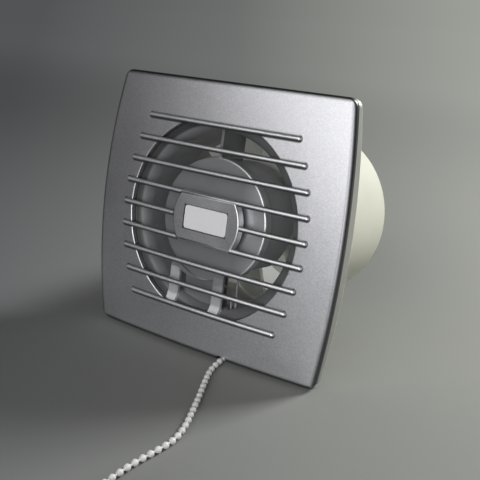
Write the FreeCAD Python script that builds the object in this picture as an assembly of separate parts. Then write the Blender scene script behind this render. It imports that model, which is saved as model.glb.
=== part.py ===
import FreeCAD, Part
import math
import os

V = FreeCAD.Vector

# Wall fan for a round duct, leaning back on a table with its pull chain laid out in front.
# Fan frame: X to the right, Y into the wall along the fan axis, Z up, origin on the axis at the wall.
# All lengths are millimetres and all angles degrees.

# Front cover
panel_height = 140.0
panel_width = 140.0
side_bow = 6.0
corner_radius = 5.0
front_reach = 13.0
dome_radius = 729.0
cover_thickness = 2.8
cover_edge_round = 1.8
cover_seam = 0.2
opening_margin = 3.2
opening_flat = 1.0
opening_edge_round = 0.6
lip_wall = 1.6
lip_rear = 4.8
bar_count = 9
bar_radius = 1.4
bar_overlap = 4.4
bar_end_arc_radius = 108.5
boss_radius = 20.75
boss_half_height = 12.0
boss_proud = 1.5
boss_edge_round = 0.7
recess_width = 27.5
recess_height = 12.8
recess_depth = 1.2
recess_corner = 2.0
tongue_width = 7.0
tongue_thickness = 1.6
tongue_spread = 80.0

# Bare plate in the boss
plate_gap = 0.35
plate_edge_round = 0.3
plate_thickness = 0.9

# Housing
housing_inset = 0.3
rim_wall = 2.0
back_plate = 3.0
spigot_outer_radius = 49.0
spigot_wall = 2.0
spigot_length = 93.8
spigot_edge_round = 0.7
wall_hole_radius = 2.25
wall_hole_inset = 14.0
inlet_radius = 5.0
inlet_side_gap = 9.0
inlet_level = -25.0

# Cover screw at the middle of the bottom edge
cover_screw_radius = 1.1
cover_screw_head_radius = 1.8
cover_screw_head_height = 1.2
cover_screw_length = 7.0
cover_screw_depth = 4.6
cover_lug_width = 8.0
cover_lug_height = 4.0

# Motor bracket
ring_wall = 1.7
ring_fit = 0.3
ring_depth = 22.0
mouth_round = 7.0
mouth_wall = 1.4
mouth_rear = 1.2
mouth_gap = 0.3
flange_margin = 2.5
flange_thickness = 1.4
ear_radius = 4.5
ear_margin = 11.0
ear_angle = 45.0
disc_radius = 32.3
disc_front = 7.5
disc_wall = 1.6
disc_rim_depth = 5.0
disc_chord = 25.0
disc_edge_round = 0.8
leg_width = 6.1
leg_left = -20.3
leg_right = 8.15
leg_bend_gap = 1.2
foot_drop = 3.6
foot_forward = 2.3
apron_step = 0.5
apron_drop = 7.6
apron_round = 27.0
rib_thickness = 1.6
rib_depth = 19.5
post_radius = 3.2

# Small screws of the bracket
bracket_screw_radius = 1.25
bracket_screw_head_radius = 2.5
bracket_screw_head_height = 1.6
bracket_screw_bite = 2.2

# Motor
core_width = 36.0
core_bottom = 16.0
core_top = 21.5
core_stack = 14.0
pole_radius = 10.5
pole_web = 1.4
window_height = 3.7
window_width = 22.0
air_gap = 0.3
shaft_radius = 2.0
bridge_width = 10.0
bridge_thickness = 2.0
bearing_radius = 4.0
bearing_length = 4.0
bearing_boss_radius = 5.5
bearing_boss_rise = 2.6
running_gap = 0.03
snug_gap = 0.02
bobbin_wall = 0.8
bobbin_flange = 3.2
coil_slack = 0.15
ring_slot = 1.2
shading_slot_depth = 5.0
motor_screw_radius = 1.45
motor_screw_head_radius = 2.8
motor_screw_head_height = 2.0
motor_screw_spread = 29.0
cup_fit = 0.3
cup_wall = 1.6
cup_rear = 22.0
cup_hole_radius = 7.0

# Impeller
hub_radius = 20.0
hub_front = 26.0
hub_length = 22.0
hub_wall = 1.8
hub_nose_round = 4.0
hub_boss_radius = 5.0
blade_count = 7
blade_start_angle = 24.0
blade_thickness = 1.6
blade_root_chord = 23.0
blade_tip_chord = 40.0
blade_root_stagger = 38.0
blade_tip_stagger = 62.0
blade_tip_gap = 1.6
blade_section_shares = (0.0, 0.5, 1.0)
clip_width = 2.5
clip_thickness = 1.2
clip_gap = 0.05

# Terminal block and its plate
terminal_width = 18.0
terminal_depth = 12.0
terminal_head_room = 2.6
terminal_middle = -6.0
terminal_front = 3.0
terminal_edge_gap = 3.4
terminal_screw_radius = 1.3
terminal_screw_head_radius = 2.2
terminal_screw_height = 5.0
terminal_pole_pitch = 8.0
terminal_plate = 1.4
terminal_plate_drop = 1.5
shelf_overhang = 0.8

# Cable inlet
grommet_wall = 1.2
grommet_lip = 1.0
grommet_lip_height = 1.2

# Pull switch
switch_x = 17.0
switch_axis_depth = 3.6
switch_width = 14.0
switch_height = 12.0
switch_rise = 5.7
switch_room_gap = 0.2
switch_wall = 1.0
switch_cavity = 3.5
switch_floor = 0.75
switch_lid_thickness = 0.85
switch_pocket_gap = 0.1
switch_tab = 5.6
switch_tab_thickness = 1.2
switch_tab_height = 5.0
switch_screw_radius = 0.9
switch_screw_head_radius = 1.7
switch_screw_head_height = 1.1
switch_screw_bite = 1.6
plunger_width = 6.0
plunger_thickness = 2.8
plunger_height = 2.0
plunger_top_gap = 0.2
plunger_travel = 3.0
stem_radius = 1.0
stem_table_gap = 0.9
guide_gap = 0.05
guide_wall = 0.7
guide_length = 2.1
guide_boss_wall = 0.9
guide_boss_rise = 2.7
spring_wire_radius = 0.2
spring_mean_radius = 1.35
spring_turns = 7
contact_thickness = 0.5
contact_height = 5.0
contact_gap = 0.9

# Leads
lead_radius = 0.6
lead_hole_gap = 0.4
lead_end_gap = 0.15
lead_lane_gap = 0.3
lead_rise = 11.2
lead_bend_share = 0.466
lead_pitch = 2.8
lead_step = 0.8
lead_slot_width = 5.6
lead_slot_floor = 2.4
lead_entry_y = 3.0
lead_entry_drop = 3.0
lead_entry_left = -11.0
lead_entry_right = 13.0
side_lane = 21.4
front_lane = 2.7
core_lead_depth = 0.5

# Pull chain on the table
bead_radius = 1.65
table_gap = 0.05
chain_gap = 0.4
chain_notch_gap = 0.3
chain_notch_half_width = 2.7
coil_outer_radius = 21.8
coil_pitch = 3.8
coil_turns = 3.5
coil_centre_x = 60.0
coil_centre_y = -189.0
toggle_length = 22.0
toggle_radius = 5.2
toggle_neck_radius = 1.8
toggle_seam = 0.1
toggle_length_shares = (0.3, 0.56, 0.82, 0.95)
toggle_waist_share = 0.55
toggle_crown_share = 0.85
toggle_tip_share = 0.5
coil_climb_turns = 0.5

# General
overrun = 1.0
full_turn = 360.0
bend_share = 0.45
parallel_share = 0.5
straight_limit = 1e-9
small_angle = 1e-4

half_height = panel_height / 2
half_width = panel_width / 2
dome_centre = dome_radius - front_reach
bore_radius = spigot_outer_radius - spigot_wall
ring_radius = bore_radius - ring_fit
ring_inner_radius = ring_radius - ring_wall
flange_front = -back_plate - flange_thickness
flange_reach = spigot_outer_radius + flange_margin
ear_reach = spigot_outer_radius + ear_margin
opening_radius = spigot_outer_radius + opening_margin
opening_half_height = spigot_outer_radius - opening_flat
bar_pitch = 2 * opening_half_height / (bar_count - 1)
bar_reach = opening_radius + bar_overlap
leg_bend = ring_inner_radius - leg_bend_gap
blade_tip_radius = bore_radius - blade_tip_gap
terminal_floor = ring_inner_radius - terminal_edge_gap
terminal_height = terminal_floor - disc_chord - terminal_head_room
inlet_side = -half_width + inlet_side_gap
rest_edge = half_height - housing_inset
switch_top = rest_edge - switch_rise - switch_height
lean = math.degrees(math.atan((rest_edge - spigot_outer_radius) / spigot_length))
lift = rest_edge * math.cos(math.radians(lean))


# Shapes along the fan axis

def cylinder(radius, y0, y1, x=0.0, z=0.0):
    return Part.makeCylinder(radius, y1 - y0, V(x, y0, z), V(0, 1, 0))


def tube(outer, inner, y0, y1, x=0.0, z=0.0):
    hole = cylinder(inner, y0 - overrun, y1 + overrun, x, z)
    return cylinder(outer, y0, y1, x, z).cut(hole)


def block(x0, x1, y0, y1, z0, z1):
    return Part.makeBox(x1 - x0, y1 - y0, z1 - z0, V(x0, y0, z0))


def upright(radius, z0, z1, x, y):
    return Part.makeCylinder(radius, z1 - z0, V(x, y, z0), V(0, 0, 1))


def side_slab(points, x0, width):
    """Side outline of (y, z) points swept along X."""
    corners = [V(x0, y, z) for y, z in points]
    return Part.Face(Part.makePolygon(corners + corners[:1])).extrude(V(width, 0, 0))


def edges_along(shape, direction):
    found = []
    for edge in shape.Edges:
        heading = edge.tangentAt(edge.FirstParameter)
        if edge.Curve.TypeId == "Part::GeomLine" and abs(heading.dot(direction)) > parallel_share:
            found.append(edge)
    return found


def rounded_block(width, height, corner, y0, y1):
    body = block(-width / 2, width / 2, y0, y1, -height / 2, height / 2)
    return body.makeFillet(corner, edges_along(body, V(0, 1, 0)))


def dome(offset):
    return Part.makeSphere(dome_radius + offset, V(0, dome_centre, 0))


def panel_prism(inset, y0, y1):
    """Square outline with straight top and bottom, bowed sides and rounded corners."""
    w = half_width - inset
    h = half_height - inset
    bow = half_width + side_bow - inset
    edges = [
        Part.LineSegment(V(-w, y0, h), V(w, y0, h)).toShape(),
        Part.Arc(V(w, y0, h), V(bow, y0, 0), V(w, y0, -h)).toShape(),
        Part.LineSegment(V(w, y0, -h), V(-w, y0, -h)).toShape(),
        Part.Arc(V(-w, y0, -h), V(-bow, y0, 0), V(-w, y0, h)).toShape(),
    ]
    body = Part.Face(Part.Wire(edges)).extrude(V(0, y1 - y0, 0))
    return body.makeFillet(corner_radius - inset, edges_along(body, V(0, 1, 0)))


def flat_sided_disc(radius, half, y0, y1):
    """Round disc cut straight across above and below."""
    band = block(-radius - overrun, radius + overrun, y0 - overrun, y1 + overrun, -half, half)
    return cylinder(radius, y0, y1).common(band)


def to_table(shape, shift=0.0):
    """Leans the fan back until frame and spigot both rest on the table."""
    placed = shape.copy()
    turn = FreeCAD.Rotation(V(1, 0, 0), -lean)
    placed.Placement = FreeCAD.Placement(V(0, shift, lift), turn).multiply(placed.Placement)
    return placed


def from_table(shape):
    """Brings a shape built on the table into the fan frame."""
    placed = shape.copy()
    turn = FreeCAD.Rotation(V(1, 0, 0), -lean)
    placed.Placement = FreeCAD.Placement(V(0, 0, lift), turn).inverse().multiply(placed.Placement)
    return placed


# Front cover pieces

def bar_half_length(z):
    return bar_reach - bar_end_arc_radius + math.sqrt(bar_end_arc_radius ** 2 - z ** 2)


def grille_bar(z):
    """Round bar with ball ends whose axis lies on the domed face."""
    ring = math.sqrt(dome_radius ** 2 - z ** 2)
    swing = math.asin(bar_half_length(z) / ring)
    left = V(-ring * math.sin(swing), dome_centre - ring * math.cos(swing), z)
    right = V(-left.x, left.y, z)
    heading = V(math.cos(swing), -math.sin(swing), 0)
    section = Part.Face(Part.Wire([Part.makeCircle(bar_radius, left, heading)]))
    rod = section.revolve(V(0, dome_centre, z), V(0, 0, 1), 2 * math.degrees(swing))
    return rod.fuse([Part.makeSphere(bar_radius, left), Part.makeSphere(bar_radius, right)])


def edges_on_dome(shape, offset):
    """Edges whose middle lies on the domed face, moved out by the offset."""
    centre = V(0, dome_centre, 0)
    found = []
    for edge in shape.Edges:
        middle = edge.valueAt((edge.FirstParameter + edge.LastParameter) / 2)
        if abs(middle.sub(centre).Length - dome_radius - offset) < snug_gap:
            found.append(edge)
    return found


def cover_shell():
    """Domed plate with a rounded rim and a round-edged opening with flat top and bottom."""
    body = panel_prism(0.0, -front_reach - overrun, 0.0).common(dome(0.0)).cut(dome(-cover_thickness))
    body = body.makeFillet(cover_edge_round, edges_on_dome(body, 0.0))
    body = body.cut(flat_sided_disc(opening_radius, opening_half_height, -front_reach - overrun, overrun))
    inner = []
    for edge in edges_on_dome(body, 0.0):
        box = edge.BoundBox
        reach = max(box.XMax, -box.XMin, box.ZMax, -box.ZMin)
        if reach < opening_radius + overrun:
            inner.append(edge)
    return body.makeFillet(opening_edge_round, inner)


def cover_boss():
    """Flat-sided raised boss at the middle of the grille."""
    front = -front_reach - boss_proud - overrun
    body = flat_sided_disc(boss_radius, boss_half_height, front, 0.0)
    body = body.common(dome(boss_proud)).cut(dome(-cover_thickness))
    return body.makeFillet(boss_edge_round, edges_on_dome(body, boss_proud))


def cover_lip():
    """Collar that runs back from the opening towards the bracket flange."""
    outside = flat_sided_disc(opening_radius + lip_wall, opening_half_height + lip_wall,
                              -front_reach, -lip_rear)
    inside = flat_sided_disc(opening_radius, opening_half_height,
                             -front_reach - overrun, -lip_rear + overrun)
    return outside.cut(inside).common(dome(-cover_thickness / 2))


def cover_tongues():
    """Two tongues that locate the cover under the top wall of the frame."""
    top = rest_edge - rim_wall - cover_seam
    tongues = []
    for side in (-1, 1):
        x = side * tongue_spread / 2
        piece = block(x - tongue_width / 2, x + tongue_width / 2, -front_reach, -lip_rear,
                      top - tongue_thickness, top)
        tongues.append(piece.common(dome(-cover_thickness / 2)))
    return tongues


def cover_lug():
    """Lug behind the bottom edge that takes the cover screw."""
    bottom = -rest_edge + rim_wall + cover_seam
    back = -back_plate - cover_seam
    body = block(-cover_lug_width / 2, cover_lug_width / 2, -front_reach, back,
                 bottom, bottom + cover_lug_height)
    return body.common(dome(-cover_thickness / 2))


def chain_notch():
    """Mouth under the bottom edge that lets the chain run out over the table."""
    stem_front = stem_foot_y() - stem_radius
    height = 2 * bead_radius + table_gap + chain_notch_gap
    depth = front_reach + half_height
    mouth = block(switch_x - chain_notch_half_width, switch_x + chain_notch_half_width,
                  stem_front - depth, stem_front, -overrun, height)
    return from_table(mouth)


def front_cover():
    body = cover_shell()
    pieces = [cover_lip(), cover_boss(), cover_lug()] + cover_tongues()
    for number in range(bar_count):
        pieces.append(grille_bar((number - (bar_count - 1) / 2) * bar_pitch))
    body = body.fuse(pieces)
    face = -front_reach - boss_proud
    recess = rounded_block(recess_width, recess_height, recess_corner,
                           face - overrun, face + recess_depth)
    screw_top = -half_height + cover_screw_length + rim_wall
    pilot = upright(cover_screw_radius + snug_gap, -half_height, screw_top, 0.0, -cover_screw_depth)
    return body.cut([recess, pilot, chain_notch(), switch_room()]).removeSplitter()


def name_plate():
    floor = -front_reach - boss_proud + recess_depth
    width = recess_width - 2 * plate_gap
    height = recess_height - 2 * plate_gap
    body = rounded_block(width, height, recess_corner - plate_gap, floor - plate_thickness, floor)
    front = [edge for edge in body.Edges if edge.BoundBox.YMax < floor - plate_thickness + snug_gap]
    return body.makeFillet(plate_edge_round, front)


# Housing

def housing():
    front = dome(-cover_thickness - cover_seam)
    body = panel_prism(housing_inset, -front_reach, 0.0).common(front)
    body = body.cut(panel_prism(housing_inset + rim_wall, -front_reach - overrun, -back_plate))
    spigot = cylinder(spigot_outer_radius, -back_plate, spigot_length)
    rear = [e for e in spigot.Edges if e.BoundBox.YMin > spigot_length - overrun and e.Closed]
    body = body.fuse([spigot.makeFillet(spigot_edge_round, rear), guide_boss()])
    body = body.cut(cylinder(bore_radius, -front_reach, spigot_length + overrun))
    body = body.cut(wall_holes() + bracket_pilots() + [inlet_hole(), switch_pocket(), chain_notch()])
    body = body.cut(switch_pilots() + [guide_hole(), cover_screw_hole(), cover_screw_seat()])
    return body.removeSplitter()


def wall_holes():
    holes = []
    for side in (-1, 1):
        for level in (-1, 1):
            x = side * (half_width - wall_hole_inset)
            z = level * (half_height - wall_hole_inset)
            holes.append(cylinder(wall_hole_radius, -back_plate - overrun, overrun, x, z))
    return holes


def ear_places():
    along = ear_reach * math.cos(math.radians(ear_angle))
    up = ear_reach * math.sin(math.radians(ear_angle))
    return [(side * along, level * up) for side in (-1, 1) for level in (-1, 1)]


def bracket_pilots():
    radius = bracket_screw_radius + snug_gap
    end = -back_plate + bracket_screw_bite + snug_gap
    return [cylinder(radius, -back_plate - overrun, end, x, z) for x, z in ear_places()]


def inlet_hole():
    return cylinder(inlet_radius, -back_plate - overrun, overrun, inlet_side, inlet_level)


def cover_screw_hole():
    return upright(cover_screw_radius + snug_gap, -rest_edge - overrun, -rest_edge + rim_wall + overrun,
                   0.0, -cover_screw_depth)


def cover_screw_seat():
    return upright(cover_screw_head_radius + cover_seam, -rest_edge - overrun,
                   -rest_edge + cover_screw_head_height, 0.0, -cover_screw_depth)


def cover_screw():
    bottom = -rest_edge + cover_seam / 2
    head_top = -rest_edge + cover_screw_head_height
    depth = -cover_screw_depth
    head = upright(cover_screw_head_radius, bottom, head_top, 0.0, depth)
    slot_half = cover_screw_radius / 3
    slot_reach = cover_screw_head_radius + overrun
    slot = block(-slot_half, slot_half, depth - slot_reach, depth + slot_reach,
                 bottom - overrun, bottom + cover_screw_head_height / 2)
    shank = upright(cover_screw_radius, head_top, -rest_edge + cover_screw_length, 0.0, depth)
    return head.cut(slot).fuse(shank).removeSplitter()


# Motor bracket

def bracket_leg(x):
    """Strip from the disc down to a foot that bends forward and joins the mouth."""
    back = -disc_front + disc_wall
    strip = block(x - leg_width / 2, x + leg_width / 2, -disc_front, back,
                  -leg_bend, -disc_chord + disc_wall)
    toe = leg_bend + foot_drop
    points = [
        (back, -leg_bend),
        (-disc_front, -leg_bend),
        (-disc_front - foot_forward, -toe),
        (back, -toe),
    ]
    foot = side_slab(points, x - leg_width / 2, leg_width).common(mouth_room())
    return strip.fuse(foot)


def bracket_apron():
    """Plate between the legs below the disc, with a round lower edge."""
    left = leg_left + leg_width / 2
    right = leg_right - leg_width / 2
    front = -disc_front + apron_step
    low = disc_chord + apron_drop
    plate = block(left, right, front, front + disc_wall, -low, -disc_chord + disc_wall)
    rounding = cylinder(apron_round, front - overrun, front + disc_wall + overrun,
                        (left + right) / 2, apron_round - low)
    return plate.common(rounding)


def mouth_room():
    """Room inside the lip of the cover."""
    radius = opening_radius - mouth_gap
    return flat_sided_disc(radius, opening_half_height - mouth_gap, -front_reach, overrun)


def bracket_mouth():
    """Rounded inlet that narrows from the cover's opening to the inside of the ring."""
    reach = ring_inner_radius + mouth_round
    thin = mouth_round - mouth_wall
    slant = math.sqrt(2)

    def at(radius, y):
        return V(radius, y, 0)

    edges = [
        Part.Arc(at(ring_inner_radius, -mouth_rear),
                 at(reach - mouth_round / slant, -mouth_rear - mouth_round / slant),
                 at(reach, -mouth_rear - mouth_round)).toShape(),
        Part.LineSegment(at(reach, -mouth_rear - mouth_round), at(reach, -mouth_rear - thin)).toShape(),
        Part.Arc(at(reach, -mouth_rear - thin), at(reach - thin / slant, -mouth_rear - thin / slant),
                 at(reach - thin, -mouth_rear)).toShape(),
        Part.LineSegment(at(reach - thin, -mouth_rear), at(ring_inner_radius, -mouth_rear)).toShape(),
    ]
    shell = Part.Face(Part.Wire(edges)).revolve(V(0, 0, 0), V(0, 1, 0), full_turn)
    return shell.common(mouth_room())


def bracket_rib():
    """Upright rib between the top of the disc and the mouth."""
    half = rib_thickness / 2
    low = disc_radius - disc_wall
    front = block(-half, half, -disc_front, -back_plate, low, opening_half_height - mouth_gap)
    rear = block(-half, half, -back_plate, -disc_front + rib_depth, low, ring_radius - ring_wall / 2)
    return front.fuse(rear)


def motor_bracket():
    body = tube(ring_radius, ring_inner_radius, -mouth_rear, ring_depth)
    pieces = [bracket_mouth(), tube(flange_reach, ring_radius, flange_front, -back_plate)]
    for x, z in ear_places():
        pieces.append(cylinder(ear_radius, flange_front, -back_plate, x, z))
        arm = block(ring_radius, ear_reach, flange_front, -back_plate, -ear_radius, ear_radius)
        arm.rotate(V(0, 0, 0), V(0, 1, 0), -math.degrees(math.atan2(z, x)))
        pieces.append(arm)
    pieces.append(bracket_disc())
    pieces += [bracket_leg(leg_left), bracket_leg(leg_right), bracket_apron()]
    pieces += [bracket_rib(), terminal_shelf()]
    body = body.fuse(pieces)
    for side in (-1, 1):
        x = side * motor_screw_spread / 2
        body = body.fuse(cylinder(post_radius, -disc_front, -bridge_thickness, x, 0.0))
        pilot = cylinder(motor_screw_radius + snug_gap, -disc_front + disc_wall / 2, overrun, x, 0.0)
        body = body.cut(pilot)
    for x, z in ear_places():
        hole = cylinder(bracket_screw_radius + snug_gap, flange_front - overrun, overrun, x, z)
        body = body.cut(hole)
    return body.cut([lead_slot(), cup_room(), switch_room(), grommet_room()]).removeSplitter()


def bracket_disc():
    """Front disc of the motor with its rim, cut straight below."""
    rear = -disc_front + disc_rim_depth
    outside = cut_disc(disc_radius, disc_chord, -disc_front, rear)
    front = [edge for edge in outside.Edges if edge.BoundBox.YMax < -disc_front + snug_gap]
    outside = outside.makeFillet(disc_edge_round, front)
    inside = cut_disc(disc_radius - disc_wall, disc_chord - disc_wall,
                      -disc_front + disc_wall, rear + overrun)
    return outside.cut(inside)


def cut_disc(radius, chord, y0, y1):
    """Disc with its lower side cut off at the chord."""
    side = radius + overrun
    below = block(-side, side, y0 - overrun, y1 + overrun, -side, -chord)
    return cylinder(radius, y0, y1).cut(below)


def cup_room():
    """Room for the rear cup inside the rim and past the rib."""
    outer = disc_radius - disc_wall
    return cut_disc(outer, disc_chord - disc_wall, -disc_front + disc_rim_depth, cup_rear + overrun)


def terminal_shelf():
    """Flat seat for the terminal block on the inside of the ring."""
    x0 = terminal_middle - terminal_width / 2 - shelf_overhang
    x1 = terminal_middle + terminal_width / 2 + shelf_overhang
    rear = -terminal_front + terminal_depth
    seat = block(x0, x1, -terminal_front, rear, -ring_radius, -terminal_floor)
    return seat.common(cylinder(ring_radius - ring_wall / 2, -terminal_front - overrun, rear + overrun))


def lead_slot():
    """Slot through flange and ring for the wires of the pull switch."""
    top = -ring_inner_radius + ring_wall + lead_slot_width
    return block(switch_x - lead_slot_width / 2, switch_x + lead_slot_width / 2,
                 flange_front - overrun, -lead_slot_floor, -flange_reach - overrun, top)


def bracket_screws():
    screws = []
    for x, z in ear_places():
        front = flange_front - bracket_screw_head_height
        head = cylinder(bracket_screw_head_radius, front, flange_front, x, z)
        shank = cylinder(bracket_screw_radius, flange_front, -back_plate + bracket_screw_bite, x, z)
        screws.append(head.fuse(shank).removeSplitter())
    return Part.makeCompound(screws)


# Motor

def stator_core():
    """Laminated core with a pole bore, a coil window and slots for the shading rings."""
    body = block(-core_width / 2, core_width / 2, 0.0, core_stack, -core_bottom, core_top)
    body = body.cut(cylinder(pole_radius, -overrun, core_stack + overrun))
    floor = pole_radius + pole_web
    window = block(-window_width / 2, window_width / 2, -overrun, core_stack + overrun,
                   floor, floor + window_height)
    body = body.cut([window] + shading_slots() + motor_screw_holes(-overrun, core_stack + overrun))
    return body.removeSplitter()


def motor_screw_holes(y0, y1):
    radius = motor_screw_radius + snug_gap
    return [cylinder(radius, y0, y1, side * motor_screw_spread / 2, 0.0) for side in (-1, 1)]


def shading_places():
    return [(side, side * core_bottom / 2) for side in (-1, 1)]


def shading_slots():
    """Two narrow slots, one in each pole, that open into the bore."""
    slots = []
    for side, z in shading_places():
        far = side * (pole_radius + shading_slot_depth / 2)
        near = side * pole_radius / 2
        slots.append(block(min(far, near), max(far, near), -overrun, core_stack + overrun,
                           z - ring_slot / 2, z + ring_slot / 2))
    return slots


def shading_rings():
    """Copper hairpins that lie in the slots and close over the end faces."""
    rings = []
    thick = ring_slot - 2 * snug_gap
    for side, z in shading_places():
        depth = shading_slot_depth / 2
        far = pole_radius + depth - snug_gap
        x0, x1 = sorted((side * far, side * (far - depth)))
        rings.append(block(x0, x1, -snug_gap, core_stack + snug_gap, z - thick / 2, z + thick / 2))
    return Part.makeCompound(rings)


def coil_leg():
    """Lowest and highest point of the core leg that carries the coil."""
    return pole_radius + pole_web + window_height, core_top


def coil_bobbin():
    low, high = coil_leg()
    half = window_width / 2 - coil_slack
    inner = block(-half - overrun, half + overrun, -coil_slack, core_stack + coil_slack,
                  low - coil_slack, high + coil_slack)
    w = coil_slack + bobbin_wall
    barrel = block(-half, half, -w, core_stack + w, low - w, high + w)
    f = min(bobbin_flange, window_height - coil_slack)
    y = coil_slack + bobbin_flange
    flanges = []
    for side in (-1, 1):
        x0, x1 = sorted((side * half, side * (half - bobbin_wall)))
        flanges.append(block(x0, x1, -y, core_stack + y, low - f, high + bobbin_flange))
    return barrel.fuse(flanges).cut(inner).removeSplitter()


def stator_coil():
    """Winding wrapped round the bobbin between its flanges."""
    low, high = coil_leg()
    half = window_width / 2 - coil_slack - bobbin_wall - snug_gap
    w = coil_slack + bobbin_wall + snug_gap
    f = min(bobbin_flange, window_height - coil_slack) - coil_slack
    y = bobbin_flange
    outside = block(-half, half, -y, core_stack + y, low - f, high + bobbin_flange - coil_slack)
    outside = outside.makeFillet(bobbin_wall, edges_along(outside, V(1, 0, 0)))
    inside = block(-half - overrun, half + overrun, -w, core_stack + w, low - w, high + w)
    return outside.cut(inside)


def rotor_core():
    body = cylinder(pole_radius - air_gap, air_gap, core_stack - air_gap)
    return body.cut(cylinder(shaft_radius + snug_gap, -overrun, core_stack + overrun))


def motor_shaft():
    front = -bridge_thickness - bearing_boss_rise
    return cylinder(shaft_radius, front, hub_front + hub_length - hub_wall)


def bridge(face, outward):
    """Bar across the core with a boss for the bearing."""
    plate_end = face + outward * bridge_thickness
    boss_end = plate_end + outward * bearing_boss_rise
    plate = block(-core_width / 2, core_width / 2, min(face, plate_end), max(face, plate_end),
                  -bridge_width / 2, bridge_width / 2)
    plate = plate.makeFillet(bridge_width / 3, edges_along(plate, V(0, 1, 0)))
    boss = cylinder(bearing_boss_radius, min(face, boss_end), max(face, boss_end))
    body = plate.fuse(boss)
    low = min(face, boss_end) - overrun
    high = max(face, boss_end) + overrun
    bore = cylinder(bearing_radius + snug_gap, low, high)
    return body.cut([bore] + motor_screw_holes(low, high)).removeSplitter()


def bearing(face, outward):
    inner_end = face + outward * running_gap
    outer_end = inner_end + outward * bearing_length
    return tube(bearing_radius, shaft_radius + running_gap,
                min(inner_end, outer_end), max(inner_end, outer_end))


def front_bridge():
    return bridge(0.0, -1)


def rear_bridge():
    return bridge(core_stack, 1)


def front_bearing():
    room = cylinder(bearing_radius, -bridge_thickness - bearing_boss_rise, 0.0)
    return bearing(-bridge_thickness / 2, -1).common(room)


def rear_bearing():
    face = core_stack + bridge_thickness / 2
    room = cylinder(bearing_radius, face, core_stack + bridge_thickness + bearing_boss_rise)
    return bearing(face, 1).common(room)


def motor_screws():
    seat = core_stack + bridge_thickness
    screws = []
    for side in (-1, 1):
        x = side * motor_screw_spread / 2
        head = cylinder(motor_screw_head_radius, seat, seat + motor_screw_head_height, x, 0.0)
        shank = cylinder(motor_screw_radius, -disc_front + disc_wall, seat, x, 0.0)
        screws.append(head.fuse(shank).removeSplitter())
    return Part.makeCompound(screws)


def motor_cup():
    """Rear cup over the motor, pushed into the rim of the bracket disc."""
    radius = disc_radius - disc_wall - cup_fit
    chord = disc_chord - disc_wall - cup_fit
    front = -disc_front + disc_wall
    body = cut_disc(radius, chord, front, cup_rear)
    body = body.cut(cut_disc(radius - cup_wall, chord - cup_wall, front - overrun, cup_rear - cup_wall))
    body = body.cut(cylinder(cup_hole_radius, front, cup_rear + overrun))
    for x in (lead_entry_left, lead_entry_right):
        hole = upright(lead_radius + lead_hole_gap, -chord - overrun, -chord + cup_wall + overrun,
                       x, lead_entry_y)
        body = body.cut(hole)
    rib_gap = rib_thickness / 2 + cup_fit
    rib_room = block(-rib_gap, rib_gap, front - overrun, -disc_front + rib_depth + cup_fit,
                     radius - cup_wall / 2, radius + overrun)
    return body.cut(rib_room).removeSplitter()


# Impeller

def blade_section(radius, chord, stagger):
    """Thin rectangle square to the radius, turned by the stagger angle from the fan axis."""
    angle = math.radians(stagger)
    along = V(math.sin(angle), math.cos(angle), 0)
    across = V(math.cos(angle), -math.sin(angle), 0)
    middle = V(0, hub_front + hub_length / 2, radius)
    corners = []
    for a, b in ((-1, -1), (1, -1), (1, 1), (-1, 1)):
        corners.append(middle + along * (a * chord / 2) + across * (b * blade_thickness / 2))
    return Part.makePolygon(corners + corners[:1])


def blade():
    root = hub_radius - hub_wall / 2
    tip = blade_tip_radius + overrun
    sections = []
    for share in blade_section_shares:
        sections.append(blade_section(root + share * (tip - root),
                                      blade_root_chord + share * (blade_tip_chord - blade_root_chord),
                                      blade_root_stagger
                                      + share * (blade_tip_stagger - blade_root_stagger)))
    body = Part.makeLoft(sections, True, True)
    rear = hub_front + hub_length + blade_tip_chord
    room = tube(blade_tip_radius, hub_radius - hub_wall / 2, hub_front - blade_tip_chord, rear)
    trimmed = body.common(room)
    return max(trimmed.Solids, key=lambda solid: solid.Volume)


def impeller():
    rear = hub_front + hub_length
    hub = cylinder(hub_radius, hub_front, rear)
    nose = [e for e in hub.Edges if e.Closed and e.BoundBox.YMin > rear - overrun]
    hub = hub.makeFillet(hub_nose_round, nose)
    hub = hub.cut(cylinder(hub_radius - hub_wall, hub_front - overrun, rear - hub_nose_round))
    boss = cylinder(hub_boss_radius, hub_front, rear - hub_wall)
    blades = []
    for number in range(blade_count):
        copy = blade()
        angle = blade_start_angle + number * full_turn / blade_count
        copy.rotate(V(0, 0, 0), V(0, 1, 0), angle)
        blades.append(copy)
    body = hub.fuse([boss] + blades)
    bore = cylinder(shaft_radius + snug_gap, hub_front - overrun, rear - hub_wall)
    return body.cut(bore).removeSplitter()


def impeller_clip():
    inner = hub_boss_radius + clip_gap
    ring = tube(inner + clip_thickness, inner,
                hub_front + clip_width / 2, hub_front + 3 * clip_width / 2)
    gap = block(-clip_thickness / 2, clip_thickness / 2, hub_front, hub_front + 2 * clip_width,
                0.0, inner + clip_thickness + overrun)
    return ring.cut(gap)


# Terminal block

def terminal_box():
    """Outer limits of the block in X, Y and Z."""
    x0 = terminal_middle - terminal_width / 2
    y0 = -terminal_front
    z0 = -terminal_floor
    return x0, x0 + terminal_width, y0, y0 + terminal_depth, z0, z0 + terminal_height


def terminal_poles():
    return [terminal_middle + side * terminal_pole_pitch / 2 for side in (-1, 1)]


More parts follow.
